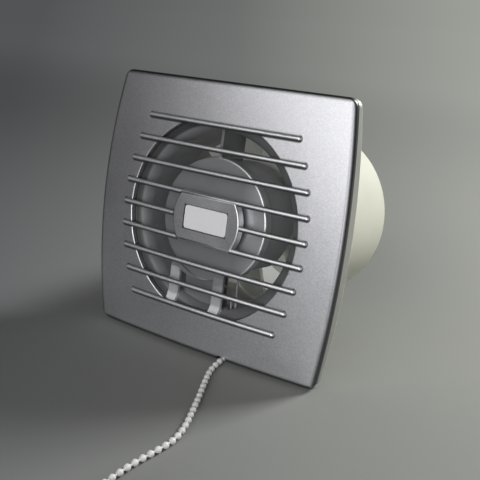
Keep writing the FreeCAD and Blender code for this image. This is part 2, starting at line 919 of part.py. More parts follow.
def terminal_block():
    x0, x1, y0, y1, z0, z1 = terminal_box()
    body = block(x0, x1, y0, y1, z0, z1)
    middle = (y0 + y1) / 2
    for x in terminal_poles():
        seat = upright(terminal_screw_head_radius + cover_seam, z1 - terminal_screw_height / 2,
                       z1 + overrun, x, middle)
        pilot = upright(terminal_screw_radius + snug_gap, z1 - terminal_screw_height, z1, x, middle)
        entry = cylinder(terminal_screw_head_radius, y1 - terminal_depth / 3, y1 + overrun,
                         x, z0 + terminal_height / 3)
        body = body.cut([seat, pilot, entry])
    return body.removeSplitter()


def terminal_screws():
    x0, x1, y0, y1, z0, z1 = terminal_box()
    seat = z1 - terminal_screw_height / 2
    screws = []
    for x in terminal_poles():
        middle = (y0 + y1) / 2
        head = upright(terminal_screw_head_radius, seat, seat + terminal_screw_radius, x, middle)
        shank = upright(terminal_screw_radius, z1 - terminal_screw_height, seat, x, middle)
        screws.append(head.fuse(shank).removeSplitter())
    return Part.makeCompound(screws)


def terminal_cover():
    """Plate over the front of the terminal block, between the two legs."""
    x0, x1, y0, y1, z0, z1 = terminal_box()
    return block(x0, x1, y0 - terminal_plate, y0, z0, z1 - terminal_plate_drop)


def cable_grommet():
    """Soft ring in the cable hole of the back plate, closed by a thin skin."""
    x = inlet_side
    z = inlet_level
    inner = inlet_radius - snug_gap - grommet_wall
    sleeve = tube(inlet_radius - snug_gap, inner, -back_plate, 0.0, x, z)
    lip = tube(inlet_radius + grommet_lip, inner, -back_plate - grommet_lip_height, -back_plate, x, z)
    skin = cylinder(inlet_radius - grommet_wall / 2, -back_plate / 2, 0.0, x, z)
    return sleeve.fuse([lip, skin]).removeSplitter()


def grommet_room():
    """Room that the flange of the bracket leaves for the lip of the cable ring."""
    return cylinder(inlet_radius + grommet_lip + switch_room_gap, flange_front - overrun, -back_plate,
                    inlet_side, inlet_level)


# Pull switch

def switch_box():
    """Outer limits of the switch case in X, Y and Z."""
    rear = -switch_axis_depth + switch_cavity / 2 + switch_floor
    front = -switch_axis_depth - switch_cavity / 2
    return (switch_x - switch_width / 2, switch_x + switch_width / 2, front, rear,
            -switch_top - switch_height, -switch_top)


def switch_pocket():
    x0, x1, y0, y1, z0, z1 = switch_box()
    g = switch_pocket_gap
    return block(x0 - g, x1 + g, -back_plate - overrun, y1, z0 - g, z1 + g)


def switch_room():
    """Room that the cover and the bracket leave for the switch with its tabs and screws."""
    x0, x1, y0, y1, z0, z1 = switch_box()
    g = switch_room_gap
    head = -back_plate - switch_tab_thickness - switch_screw_head_height
    front = min(y0 - switch_lid_thickness, head)
    return block(x0 - switch_tab - g, x1 + switch_tab + g, front - g, y1 + g, z0 - g, z1 + g)


def switch_tab_places():
    x0, x1, y0, y1, z0, z1 = switch_box()
    return [(x0 - switch_tab / 2, (z0 + z1) / 2), (x1 + switch_tab / 2, (z0 + z1) / 2)]


def switch_pilots():
    radius = switch_screw_radius + snug_gap
    end = -back_plate + switch_screw_bite + snug_gap
    return [cylinder(radius, -back_plate - overrun, end, x, z) for x, z in switch_tab_places()]


def switch_body():
    x0, x1, y0, y1, z0, z1 = switch_box()
    w = switch_wall
    body = block(x0, x1, y0, y1, z0, z1)
    tabs = block(x0 - switch_tab, x1 + switch_tab, -back_plate - switch_tab_thickness, -back_plate,
                 (z0 + z1 - switch_tab_height) / 2, (z0 + z1 + switch_tab_height) / 2)
    body = body.fuse(tabs)
    cavity = block(x0 + w, x1 - w, y0 - overrun, y1 - switch_floor, z0 + w, z1 - w)
    bore = upright(stem_radius + guide_gap, z0 - overrun, z0 + w + overrun, switch_x, -switch_axis_depth)
    body = body.cut([cavity, bore])
    for x, z in switch_tab_places():
        body = body.cut(cylinder(switch_screw_radius + snug_gap, -front_reach, 0.0, x, z))
    return body.removeSplitter()


def switch_lid():
    x0, x1, y0, y1, z0, z1 = switch_box()
    return block(x0, x1, y0 - switch_lid_thickness, y0, z0, z1)


def switch_screws():
    seat = -back_plate - switch_tab_thickness
    screws = []
    for x, z in switch_tab_places():
        head = cylinder(switch_screw_head_radius, seat - switch_screw_head_height, seat, x, z)
        shank = cylinder(switch_screw_radius, seat, -back_plate + switch_screw_bite, x, z)
        screws.append(head.fuse(shank).removeSplitter())
    return Part.makeCompound(screws)


def plunger_top():
    return -switch_top - switch_wall - plunger_top_gap


def stem_foot_z():
    """Height in the fan frame of the stem's foot, clear of the table when fully pulled."""
    tilt = math.radians(lean)
    above = plunger_travel * math.cos(tilt) + stem_table_gap + stem_radius * math.sin(tilt)
    return (above - lift - switch_axis_depth * math.sin(tilt)) / math.cos(tilt)


def stem_foot_y():
    """Place of the stem's foot along the table when fully pulled, before the part is centred."""
    tilt = math.radians(lean)
    return -switch_axis_depth * math.cos(tilt) + (stem_foot_z() - plunger_travel) * math.sin(tilt)


def pull_plunger():
    top = plunger_top()
    axis = -switch_axis_depth
    half = plunger_thickness / 2
    head = block(switch_x - plunger_width / 2, switch_x + plunger_width / 2, axis - half, axis + half,
                 top - plunger_height, top)
    stem = upright(stem_radius, stem_foot_z(), top - plunger_height, switch_x, axis)
    return head.fuse(stem).removeSplitter()


def return_spring():
    """Wound spring between the plunger head and the floor of the switch case."""
    low = -switch_top - switch_height + switch_wall + spring_wire_radius + running_gap
    high = plunger_top() - plunger_height - spring_wire_radius - running_gap
    rise = high - low
    points = []
    headings = []
    quarters = spring_turns * 4
    for number in range(quarters + 1):
        angle = number * math.pi / 2
        along = spring_mean_radius * math.cos(angle)
        across = spring_mean_radius * math.sin(angle)
        points.append(V(switch_x + along, -switch_axis_depth + across, low + rise * number / quarters))
        headings.append(V(-across, along, 2 * rise / (math.pi * quarters)).normalize())
    print("return_spring gap between turns", round(rise / spring_turns - 2 * spring_wire_radius, 3))
    return wound_tube(points, headings, spring_wire_radius)


def switch_contacts():
    x0, x1, y0, y1, z0, z1 = switch_box()
    low = z0 + switch_wall + contact_gap
    blades = []
    for side in (-1, 1):
        near = switch_x + side * (switch_width / 2 - switch_wall)
        far = near - side * contact_thickness
        blades.append(block(min(near, far), max(near, far), y0 + contact_gap, y1 - switch_floor,
                            low, low + contact_height))
    return Part.makeCompound(blades)


def guide_boss():
    radius = stem_radius + guide_gap + guide_wall + guide_boss_wall
    top = -rest_edge + rim_wall + guide_boss_rise
    return upright(radius, -rest_edge, top, switch_x, -switch_axis_depth)


def guide_hole():
    radius = stem_radius + guide_gap + guide_wall + snug_gap
    top = -rest_edge + rim_wall + guide_boss_rise
    return upright(radius, -rest_edge - overrun, top + overrun, switch_x, -switch_axis_depth)


def chain_guide():
    """Bush round the stem in the bottom wall."""
    top = -rest_edge + rim_wall + guide_boss_rise
    inner = stem_radius + guide_gap
    body = upright(inner + guide_wall, top - guide_length, top, switch_x, -switch_axis_depth)
    return body.cut(upright(inner, -half_height, 0.0, switch_x, -switch_axis_depth))


# Leads and chain

def arc_between(start, heading, end):
    """Arc that leaves the start along the heading and ends at the end, or a line where it is straight."""
    chord = end.sub(start)
    unit = V(chord).normalize()
    cosine = max(-1.0, min(1.0, heading.dot(unit)))
    turn = math.acos(cosine)
    side = heading.sub(unit * cosine)
    if side.Length < straight_limit:
        return Part.LineSegment(start, end).toShape()
    rise = chord.Length / 2 * math.tan(turn / 2)
    middle = (start + end) / 2 + side.normalize() * rise
    return Part.Arc(start, middle, end).toShape()


def biarc(start, start_heading, end, end_heading):
    """Two arcs with a common tangent where they meet."""
    v = end.sub(start)
    t = start_heading + end_heading
    a = 2 * (1 - start_heading.dot(end_heading))
    b = v.dot(t)
    if a < straight_limit:
        reach = v.dot(v) / (4 * v.dot(end_heading))
    else:
        reach = (-b + math.sqrt(b * b + a * v.dot(v))) / a
    meet = (start + end + (start_heading - end_heading) * reach) / 2
    return [arc_between(start, start_heading, meet), arc_between(end, end_heading * -1, meet)]


def swept_tube(edges, start, heading, radius):
    path = Part.Wire(edges)
    section = Part.Wire([Part.makeCircle(radius, start, heading)])
    return path.makePipeShell([section], True, False)


def wound_tube(points, headings, radius):
    edges = []
    for number in range(len(points) - 1):
        edges += biarc(points[number], headings[number], points[number + 1], headings[number + 1])
    return swept_tube(edges, points[0], headings[0], radius)


def laid_tube(name, points, radius):
    """Tube along straight runs joined by tangent arcs as large as the runs allow."""
    edges = []
    radii = []
    length = 0.0
    here = points[0]
    for number in range(1, len(points) - 1):
        corner = points[number]
        before = points[number - 1].sub(corner)
        after = points[number + 1].sub(corner)
        cut = bend_share * min(before.Length, after.Length)
        into = V(before).normalize()
        out = V(after).normalize()
        turn = math.pi - math.acos(max(-1.0, min(1.0, into.dot(out))))
        bend = cut / math.tan(turn / 2)
        radii.append(round(bend, 1))
        start = corner + into * cut
        end = corner + out * cut
        edges.append(Part.LineSegment(here, start).toShape())
        edges.append(arc_between(start, into * -1, end))
        length += start.sub(here).Length + bend * turn
        here = end
    edges.append(Part.LineSegment(here, points[-1]).toShape())
    length += points[-1].sub(here).Length
    body = swept_tube(edges, points[0], points[1].sub(points[0]), radius)
    ratio = body.Volume / (math.pi * radius ** 2 * length)
    print(name, "bend radii", radii, "length", round(length, 1), "volume ratio", round(ratio, 4))
    return body


def lead_level():
    """Height of the leads where they pass under the core, inside the motor cup."""
    cup_floor = disc_chord - disc_wall - cup_fit - cup_wall
    return -(core_bottom + cup_floor) / 2


def motor_side_route(side):
    """Points of a lead inside the motor cup, beside the core and up to the bobbin."""
    half_core = core_width / 2
    end = window_width / 2 - coil_slack + lead_end_gap
    low, high = coil_leg()
    level = (low + high) / 2
    return [
        V(side * (half_core + 2 * lead_step), core_lead_depth, lead_level()),
        V(side * side_lane, -front_lane, -core_bottom / 2),
        V(side * (side_lane - lead_step / 4), -front_lane, core_bottom / 2),
        V(side * half_core, -front_lane, level - lead_step),
        V(side * end, -front_lane, level),
    ]


def supply_lead():
    top = terminal_box()[5] + lead_end_gap
    points = [V(lead_entry_left, lead_entry_y, top), V(lead_entry_left, lead_entry_y, lead_level())]
    return laid_tube("supply_lead", points + motor_side_route(-1), lead_radius)


def slot_route(side):
    """Points of a lead from the top of the switch through the slot in flange and ring."""
    lane = -back_plate - lead_radius - lead_lane_gap
    x = switch_x + side * lead_pitch / 2
    low = -switch_top + lead_end_gap
    high = -min(switch_top - lead_rise, terminal_floor - lead_step)
    return [
        V(x - side * lead_step / 4, lane, low),
        V(x, lane, low + (high - low) * lead_bend_share),
        V(x, lane, high),
    ]


def switch_lead():
    x0, x1, y0, y1, z0, z1 = terminal_box()
    middle = (z0 + z1) / 2
    points = [
        V(x1 + lead_end_gap, lead_entry_y, middle),
        V(leg_right, lead_entry_y, middle - lead_step),
    ]
    return laid_tube("switch_lead", points + slot_route(-1)[::-1], lead_radius)


def return_lead():
    points = [
        V(lead_entry_right, lead_entry_y, -disc_chord - lead_entry_drop),
        V(lead_entry_right + lead_step / 4, lead_entry_y, lead_level()),
    ]
    return laid_tube("return_lead", slot_route(1) + points + motor_side_route(1), lead_radius)


# The chain is laid on the table, in the table frame after the part is centred.
chain_height = bead_radius + table_gap
chain_route = [
    (17.4, -65.5), (18.9, -74.0), (22.9, -83.0), (28.9, -95.0), (34.6, -107.5), (40.0, -119.5),
    (42.6, -130.0), (41.2, -140.5), (39.2, -152.0), (38.6, -163.5), (38.2, -174.8),
]


def pull_chain(shift):
    start = V(switch_x, stem_foot_y() - stem_radius - chain_gap + shift, chain_height)
    end = V(coil_centre_x - coil_outer_radius, coil_centre_y + 2 * bead_radius, chain_height)
    points = [start] + [V(x, y, chain_height) for x, y in chain_route] + [end]
    return laid_tube("pull_chain", points, bead_radius)


def coil_point(angle):
    """Place on the coil: in for half of the turns, out for the other half, with a climb between."""
    turns = angle / (2 * math.pi)
    middle = coil_turns / 2
    radius = coil_outer_radius - coil_pitch * (middle - abs(turns - middle))
    climb = max(0.0, min(1.0, (turns - middle) / coil_climb_turns + 1 / 2))
    height = chain_height + coil_pitch * (1 - math.cos(math.pi * climb)) / 2
    return V(coil_centre_x - radius * math.cos(angle), coil_centre_y - radius * math.sin(angle), height)


def coil_heading(angle):
    return coil_point(angle + small_angle).sub(coil_point(angle - small_angle)).normalize()


def coil_gap():
    """Least gap between points of the coil that are at least half a turn apart."""
    per_turn = 72
    count = int(coil_turns * per_turn) + 1
    places = [coil_point(2 * math.pi * number / per_turn) for number in range(count)]
    least = coil_outer_radius
    for number, place in enumerate(places):
        for other in places[number + per_turn // 2:]:
            least = min(least, place.distanceToPoint(other))
    return least - 2 * bead_radius


def chain_coil():
    quarters = int(round(coil_turns * 4))
    angles = [number * math.pi / 2 for number in range(quarters + 1)]
    points = [coil_point(angle) for angle in angles]
    headings = [coil_heading(angle) for angle in angles]
    headings[0] = V(0, -1, 0)
    headings[-1] = V(0, 1, 0) if headings[-1].y > 0 else V(0, -1, 0)
    lead_in = points[0] - headings[0] * (2 * bead_radius)
    lead_out = points[-1] + headings[-1] * (2 * bead_radius)
    edges = [Part.LineSegment(lead_in, points[0]).toShape()]
    for number in range(quarters):
        edges += biarc(points[number], headings[number], points[number + 1], headings[number + 1])
    edges.append(Part.LineSegment(points[-1], lead_out).toShape())
    body = swept_tube(edges, lead_in, headings[0], bead_radius)
    length = sum(edge.Length for edge in edges)
    ratio = body.Volume / (math.pi * bead_radius ** 2 * length)
    print("chain_coil least gap", round(coil_gap(), 2), "length", round(length, 1),
          "volume ratio", round(ratio, 4))
    return body


def chain_toggle():
    """Turned grip on the end of the chain, lying beside the coil."""
    last = coil_turns * 2 * math.pi
    heading = V(0, 1, 0) if coil_heading(last).y > 0 else V(0, -1, 0)
    start = coil_point(last) + heading * (2 * bead_radius + toggle_seam)
    r = toggle_radius
    n = toggle_neck_radius
    waist = n + (r - n) * toggle_waist_share
    tip = r * toggle_tip_share

    def at(length_share, radius):
        return start + heading * (length_share * toggle_length) + V(0, 0, radius)

    neck_share, waist_share, shoulder_share, crown_share = toggle_length_shares
    edges = [
        Part.LineSegment(start, at(0.0, n)).toShape(),
        Part.LineSegment(at(0.0, n), at(neck_share, n)).toShape(),
        Part.Arc(at(neck_share, n), at(waist_share, waist), at(shoulder_share, r)).toShape(),
        Part.Arc(at(shoulder_share, r), at(crown_share, r * toggle_crown_share), at(1.0, tip)).toShape(),
        Part.LineSegment(at(1.0, tip), at(1.0, 0.0)).toShape(),
        Part.LineSegment(at(1.0, 0.0), start).toShape(),
    ]
    return Part.Face(Part.Wire(edges)).revolve(start, heading, full_turn)


fan_pieces = {
    "front_cover": front_cover,
    "name_plate": name_plate,
    "housing": housing,
    "cover_screw": cover_screw,
    "motor_bracket": motor_bracket,
    "bracket_screws": bracket_screws,
    "stator_core": stator_core,
    "shading_rings": shading_rings,
    "coil_bobbin": coil_bobbin,
    "stator_coil": stator_coil,
    "rotor_core": rotor_core,
    "motor_shaft": motor_shaft,
    "front_bridge": front_bridge,
    "rear_bridge": rear_bridge,
    "front_bearing": front_bearing,
    "rear_bearing": rear_bearing,
    "motor_screws": motor_screws,
    "motor_cup": motor_cup,
    "impeller": impeller,
    "impeller_clip": impeller_clip,
    "terminal_block": terminal_block,
    "terminal_screws": terminal_screws,
    "terminal_cover": terminal_cover,
    "cable_grommet": cable_grommet,
    "switch_body": switch_body,
    "switch_lid": switch_lid,
    "switch_screws": switch_screws,
    "switch_contacts": switch_contacts,
    "pull_plunger": pull_plunger,
    "return_spring": return_spring,
    "chain_guide": chain_guide,
    "supply_lead": supply_lead,
    "switch_lead": switch_lead,
    "return_lead": return_lead,
}

os.makedirs("parts", exist_ok=True)
leaning = {name: to_table(make()) for name, make in fan_pieces.items()}
boxes = [shape.optimalBoundingBox(False, False) for shape in leaning.values()]
centre_shift = -(min(box.YMin for box in boxes) + max(box.YMax for box in boxes)) / 2
for name, shape in leaning.items():
    shape.translate(V(0, centre_shift, 0))
    shape.exportStep("parts/" + name + ".step")
cord_pieces = {
    "pull_chain": pull_chain(centre_shift),
    "chain_coil": chain_coil(),
    "chain_toggle": chain_toggle(),
}
for name, shape in cord_pieces.items():
    shape.exportStep("parts/" + name + ".step")
for name, shape in {**leaning, **cord_pieces}.items():
    box = shape.optimalBoundingBox(False, False)
    print(name, "solids", len(shape.Solids), "valid", shape.isValid(), "volume", round(shape.Volume, 1),
          "z", round(box.ZMin, 2), round(box.ZMax, 2))
print("lean", round(lean, 3), "lift", round(lift, 3), "centre shift", round(centre_shift, 3))
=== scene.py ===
import math

import bmesh
import bpy
from mathutils import Matrix, Quaternion, Vector


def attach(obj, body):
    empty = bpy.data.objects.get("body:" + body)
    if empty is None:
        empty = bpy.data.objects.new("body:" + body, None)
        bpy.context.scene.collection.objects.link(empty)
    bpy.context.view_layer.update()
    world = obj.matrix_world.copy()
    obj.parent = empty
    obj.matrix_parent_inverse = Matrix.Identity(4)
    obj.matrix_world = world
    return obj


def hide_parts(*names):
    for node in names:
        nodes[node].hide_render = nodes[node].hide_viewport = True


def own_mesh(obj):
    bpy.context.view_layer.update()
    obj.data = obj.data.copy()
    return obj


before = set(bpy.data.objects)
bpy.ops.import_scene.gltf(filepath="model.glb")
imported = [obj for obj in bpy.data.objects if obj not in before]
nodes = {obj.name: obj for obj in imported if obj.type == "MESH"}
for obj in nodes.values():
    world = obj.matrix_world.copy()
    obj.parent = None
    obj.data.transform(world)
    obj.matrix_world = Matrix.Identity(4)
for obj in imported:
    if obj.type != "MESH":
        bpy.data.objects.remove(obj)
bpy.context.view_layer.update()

# Studio floor and backdrop
# One seamless sheet of pale grey paper that lies under the fan and curves up behind it, with the
# mottle of paper. Near the fan it has painted shade on the left and painted light on the right.
# Far away it glows in a painted tone, dark on the left and light on the right.
paper_painted_shade_left = (0.173, 0.178, 0.183)
paper_painted_light_right = (0.302, 0.308, 0.278)
paper_far = (0.04, 0.04, 0.04)
backdrop_painted_glow_left = (0.075, 0.079, 0.083)
backdrop_painted_glow_middle = (0.14, 0.145, 0.142)
backdrop_painted_glow_right = (0.345, 0.355, 0.322)
paper_across = (0.812, 0.5836, 0.0)
paper_middle = -0.013
paper_near_spread = 0.16
paper_far_spread = 0.62
paper_spread_start = -0.1
paper_spread_end = 1.5
paper_near_end = 0.12
paper_far_start = 0.75
paper_fibre_scale = 900.0
paper_mottle = 0.02
paper_roughness = 0.8
floor_half_width = 3.0
floor_front = -2.6
backdrop_distance = 1.9
backdrop_height = 2.4
backdrop_bend = 0.6
backdrop_bend_steps = 24


def link(obj):
    bpy.context.scene.collection.objects.link(obj)
    return obj


def object_from(bm, name):
    """Turns a finished bmesh into an object with smooth faces at the origin."""
    mesh = bpy.data.meshes.new(name)
    for face in bm.faces:
        face.smooth = True
    bm.to_mesh(mesh)
    bm.free()
    return link(bpy.data.objects.new(name, mesh))


def principled(name):
    """Material with one Principled shader, and that shader node."""
    material = bpy.data.materials.new(name)
    material.use_nodes = True
    return material, material.node_tree.nodes["Principled BSDF"]


def feed(tree, socket, value):
    """Links an input to the socket that feeds it, or sets it to a number, vector or colour."""
    if isinstance(value, bpy.types.NodeSocket):
        tree.links.new(value, socket)
    elif socket.type == "RGBA":
        socket.default_value = (*value, 1.0)
    else:
        socket.default_value = value


def add_node(tree, kind, **values):
    """New node of a tree, with values for its settings and, by socket name, for its inputs."""
    node = tree.nodes.new(kind)
    for name, value in values.items():
        if hasattr(node, name):
            setattr(node, name, value)
        else:
            feed(tree, node.inputs[name.replace("_", " ")], value)
    return node


def object_place(tree):
    """Place on the piece, in the frame that all pieces share."""
    return add_node(tree, "ShaderNodeTexCoord").outputs["Object"]


def split_axes(tree, vector):
    """The three numbers of a vector."""
    return add_node(tree, "ShaderNodeSeparateXYZ", Vector=vector).outputs[:]


def add_math(tree, operation, a, b=0.0, c=0.0):
    """Math node; each of a, b and c is a number or the socket that feeds it."""
    node = add_node(tree, "ShaderNodeMath", operation=operation)
    for socket, value in zip(node.inputs, (a, b, c)):
        feed(tree, socket, value)
    return node.outputs[0]


def add_range(tree, value, start, end, first=0.0, last=1.0, smooth=False):
    """Number that goes from first to last while the value goes from start to end."""
    node = add_node(tree, "ShaderNodeMapRange", Value=value, From_Min=start, From_Max=end,
                    To_Min=first, To_Max=last)
    node.interpolation_type = "SMOOTHSTEP" if smooth else "LINEAR"
    return node.outputs["Result"]


def add_ramp(tree, factor, stops):
    """Colour ramp with its stops, fed by a factor."""
    ramp = add_node(tree, "ShaderNodeValToRGB", Fac=factor)
    elements = ramp.color_ramp.elements
    while len(elements) < len(stops):
        elements.new(0.5)
    for element, (position, colour) in zip(elements, stops):
        element.position = position
        element.color = (*colour, 1.0)
    return ramp.outputs["Color"]


def add_mix(tree, factor, a, b):
    """Colour that goes from a to b with the factor; each is a colour or the socket for it."""
    node = add_node(tree, "ShaderNodeMix", data_type="RGBA", Factor=factor)
    for socket, value in zip(node.inputs[6:8], (a, b)):
        feed(tree, socket, value)
    return node.outputs[2]


def make_floor():
    bm = bmesh.new()
    start = bm.verts.new((-floor_half_width, floor_front, 0.0))
    corner = bm.verts.new((-floor_half_width, backdrop_distance - backdrop_bend, 0.0))
    bm.edges.new((start, corner))
    bend_centre = (-floor_half_width, backdrop_distance - backdrop_bend, backdrop_bend)
    bmesh.ops.spin(bm, geom=[corner], cent=bend_centre, axis=(1.0, 0.0, 0.0), angle=math.pi / 2,
                   steps=backdrop_bend_steps, use_merge=False, use_duplicate=False)
    top = max(bm.verts, key=lambda v: v.co.z)
    end = bm.verts.new((-floor_half_width, top.co.y, backdrop_height))
    bm.edges.new((top, end))
    swept = bmesh.ops.extrude_edge_only(bm, edges=bm.edges[:])
    moved = [g for g in swept["geom"] if isinstance(g, bmesh.types.BMVert)]
    bmesh.ops.translate(bm, verts=moved, vec=(2 * floor_half_width, 0.0, 0.0))
    bmesh.ops.recalc_face_normals(bm, faces=bm.faces[:])
    return object_from(bm, "studio_floor")


def paper_material():
    material, shader = principled("paper_with_painted_light")
    tree = material.node_tree
    place = object_place(tree)
    _, away, _ = split_axes(tree, place)
    far_share = add_range(tree, away, paper_near_end, paper_far_start, smooth=True)
    spread = add_range(tree, away, paper_spread_start, paper_spread_end, paper_near_spread,
                       paper_far_spread)
    across = add_node(tree, "ShaderNodeVectorMath", operation="DOT_PRODUCT", Vector=place)
    across.inputs[1].default_value = paper_across
    fibre = add_node(tree, "ShaderNodeTexNoise", Vector=place, Scale=paper_fibre_scale, Detail=4.0)
    side = add_math(tree, "SUBTRACT", across.outputs["Value"], paper_middle)
    side = add_math(tree, "DIVIDE", side, spread)
    side = add_math(tree, "MULTIPLY_ADD", side, 0.5, 0.5)
    side = add_math(tree, "MULTIPLY_ADD", fibre.outputs["Fac"], paper_mottle, side)
    # Painted shade on the left of the near paper and painted light on its right.
    near = add_ramp(tree, side, [(0.0, paper_painted_shade_left), (1.0, paper_painted_light_right)])
    # Painted light: far away the paper glows for camera and mirror rays, dark on the left and light
    # on the right, and its own colour there is nearly black.
    far = add_ramp(tree, side, [(0.0, backdrop_painted_glow_left), (0.5, backdrop_painted_glow_middle),
                                (1.0, backdrop_painted_glow_right)])
    seen = add_node(tree, "ShaderNodeLightPath").outputs
    direct = add_math(tree, "ADD", seen["Is Camera Ray"], seen["Is Glossy Ray"])
    direct = add_math(tree, "ADD", direct, seen["Is Transmission Ray"])
    direct = add_math(tree, "MINIMUM", direct, 1.0)
    feed(tree, shader.inputs["Base Color"], add_mix(tree, far_share, near, paper_far))
    feed(tree, shader.inputs["Emission Color"], far)
    feed(tree, shader.inputs["Emission Strength"], add_math(tree, "MULTIPLY", direct, far_share))
    feed(tree, shader.inputs["Roughness"], paper_roughness)
    return material


studio_floor = make_floor()
studio_floor.data.materials.append(paper_material())

# Studio light
# A wide soft lamp in front, a small one above and behind, a weak wide one low on the right, and a
# dim even room. The silver mirrors the front lamp and fades from upper right to lower left.
room_level = 0.032
lamp_rows = [
    ("front_lamp", (0.05, -0.95, 0.65), (0.0, -0.04, 0.07), (1.35, 1.06), -32.0, 6.3),
    ("back_lamp", (0.37, 0.45, 0.52), (0.0, -0.02, 0.06), (0.20, 0.20), 0.0, 5.9),
    ("side_lamp", (0.44, -0.84, 0.23), (0.0, -0.04, 0.07), (1.20, 0.46), 0.0, 2.6),
]


def add_lamp(name, place, target, size, roll, power):
    data = bpy.data.lights.new(name, "AREA")
    data.shape = "RECTANGLE"
    data.size, data.size_y = size
    data.energy = power
    lamp = link(bpy.data.objects.new(name, data))
    lamp.location = place
    lamp.rotation_mode = "QUATERNION"
    aim = (Vector(target) - Vector(place)).to_track_quat("-Z", "Y")
    lamp.rotation_quaternion = aim @ Quaternion((0.0, 0.0, 1.0), math.radians(roll))


for row in lamp_rows:
    add_lamp(*row)
world = bpy.data.worlds.new("even_room")
bpy.context.scene.world = world
world.use_nodes = True
room = world.node_tree.nodes["Background"].inputs
room["Color"].default_value = (1.0, 1.0, 1.0, 1.0)
room["Strength"].default_value = room_level
bpy.context.scene.view_settings.view_transform = "Standard"

# Camera
# Stands in front on the right, a little above the fan, and looks down at it. Its long lens gives
# the flat perspective of a product picture, and everything in view is sharp.
camera_place = Vector((0.23675, -0.35206, 0.20845))
camera_right = Vector((0.81205, 0.58359, 0.00135))
camera_down = Vector((0.21175, -0.29249, -0.93253))
camera_forward = Vector((-0.54382, 0.75754, -0.36110))
camera_data = bpy.data.cameras.new("photo_camera")
camera_data.lens = 60.31
camera_data.sensor_width = 36.0
camera_data.clip_start = 0.01
camera = link(bpy.data.objects.new("photo_camera", camera_data))
camera_turn = Matrix((camera_right, -camera_down, -camera_forward)).transposed()
camera.matrix_world = Matrix.Translation(camera_place) @ camera_turn.to_4x4()
bpy.context.scene.camera = camera

# Housing
# The ivory frame with its back plate and round duct spigot, moulded in one piece of ABS plastic
# with a fine grain. Its sides are sprayed silver like the cover, and painted shade darkens the
# duct.
ivory_colour = (0.69, 0.694, 0.586)
ivory_roughness = 0.42
frame_side_colour = (0.60, 0.605, 0.58)
frame_side_back = -0.0002
duct_painted_shade_colour = (0.40, 0.403, 0.385)
duct_painted_shade_radius = 0.0478
fan_lean = math.radians(12.445)
fan_shift = (0.0, 0.052613, -0.058089)
finish_outputs = [("Color", "Color"), ("Roughness", "Float"), ("Height", "Float")]
skin_cloud = 0.08
skin_cloud_scale = 70.0
skin_cloud_gloss = 0.10
skin_grain_scale = 2200.0
skin_speck = 0.06
skin_speck_gloss = 0.12
skin_relief = 0.12
skin_depth = 0.0002


def new_group(name, inputs, outputs):
    """Shader node group with its sockets, and its two end nodes."""
    tree = bpy.data.node_groups.new(name, "ShaderNodeTree")
    sockets = tree.interface
    for label, kind, value in inputs:
        socket = sockets.new_socket(name=label, in_out="INPUT", socket_type="NodeSocket" + kind)
        socket.default_value = value
    for label, kind in outputs:
        sockets.new_socket(name=label, in_out="OUTPUT", socket_type="NodeSocket" + kind)
    return tree, tree.nodes.new("NodeGroupInput"), tree.nodes.new("NodeGroupOutput")


def add_scaled(tree, colour, factor):
    """Colour times a number."""
    node = add_node(tree, "ShaderNodeVectorMath", operation="SCALE", Vector=colour, Scale=factor)
    return node.outputs[0]


def put_finish(tree, put, colour, roughness, height):
    """Ends a group with the three outputs of a finish."""
    for name, value in (("Color", colour), ("Roughness", roughness), ("Height", height)):
        tree.links.new(value, put.inputs[name])


def moulded_skin_group():
    """Moulded plastic or rubber: soft clouds in the colour, a fine grain in gloss and height."""
    tree, given, put = new_group(
        "moulded_skin",
        [("Color", "Color", (0.5, 0.5, 0.5, 1.0)), ("Roughness", "Float", 0.5),
         ("Cloud", "Float", skin_cloud), ("Grain Scale", "Float", skin_grain_scale)],
        finish_outputs)
    place = object_place(tree)
    cloud = add_node(tree, "ShaderNodeTexNoise", Vector=place, Scale=skin_cloud_scale, Detail=3.0)
    grain = add_node(tree, "ShaderNodeTexNoise", Vector=place, Scale=given.outputs["Grain Scale"],
                     Detail=2.0)
    shift = add_math(tree, "SUBTRACT", cloud.outputs["Fac"], 0.5)
    speck = add_math(tree, "SUBTRACT", grain.outputs["Fac"], 0.5)
    factor = add_math(tree, "MULTIPLY_ADD", shift, given.outputs["Cloud"], 1.0)
    factor = add_math(tree, "MULTIPLY_ADD", speck, skin_speck, factor)
    gloss = add_math(tree, "MULTIPLY_ADD", shift, skin_cloud_gloss, given.outputs["Roughness"])
    gloss = add_math(tree, "MULTIPLY_ADD", speck, skin_speck_gloss, gloss)
    colour = add_scaled(tree, given.outputs["Color"], factor)
    put_finish(tree, put, colour, gloss, grain.outputs["Fac"])
    return tree


moulded_skin = moulded_skin_group()


def add_group(tree, group, **values):
    """Places a node group in a material's tree, with values for its inputs by name."""
    return add_node(tree, "ShaderNodeGroup", node_tree=group, **values)


def wire_finish(tree, shader, finish, relief, depth, colour=None):
    """Feeds a finish into the shader, with its own colour or the one that is given."""
    bump = add_node(tree, "ShaderNodeBump", Strength=relief, Distance=depth,
                    Height=finish.outputs["Height"])
    if colour is None:
        colour = finish.outputs["Color"]
    tree.links.new(colour, shader.inputs["Base Color"])
    tree.links.new(finish.outputs["Roughness"], shader.inputs["Roughness"])
    tree.links.new(bump.outputs["Normal"], shader.inputs["Normal"])


def moulded(name, colour, roughness, cloud=skin_cloud, grain=skin_grain_scale, relief=skin_relief):
    """Material of a plain moulded piece."""
    material, shader = principled(name)
    skin = add_group(material.node_tree, moulded_skin, Color=colour, Roughness=roughness,
                     Cloud=cloud, Grain_Scale=grain)
    wire_finish(material.node_tree, shader, skin, relief, skin_depth)
    return material


def dress(material, *names):
    """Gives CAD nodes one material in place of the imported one."""
    for name in names:
        nodes[name].data.materials.clear()
        nodes[name].data.materials.append(material)


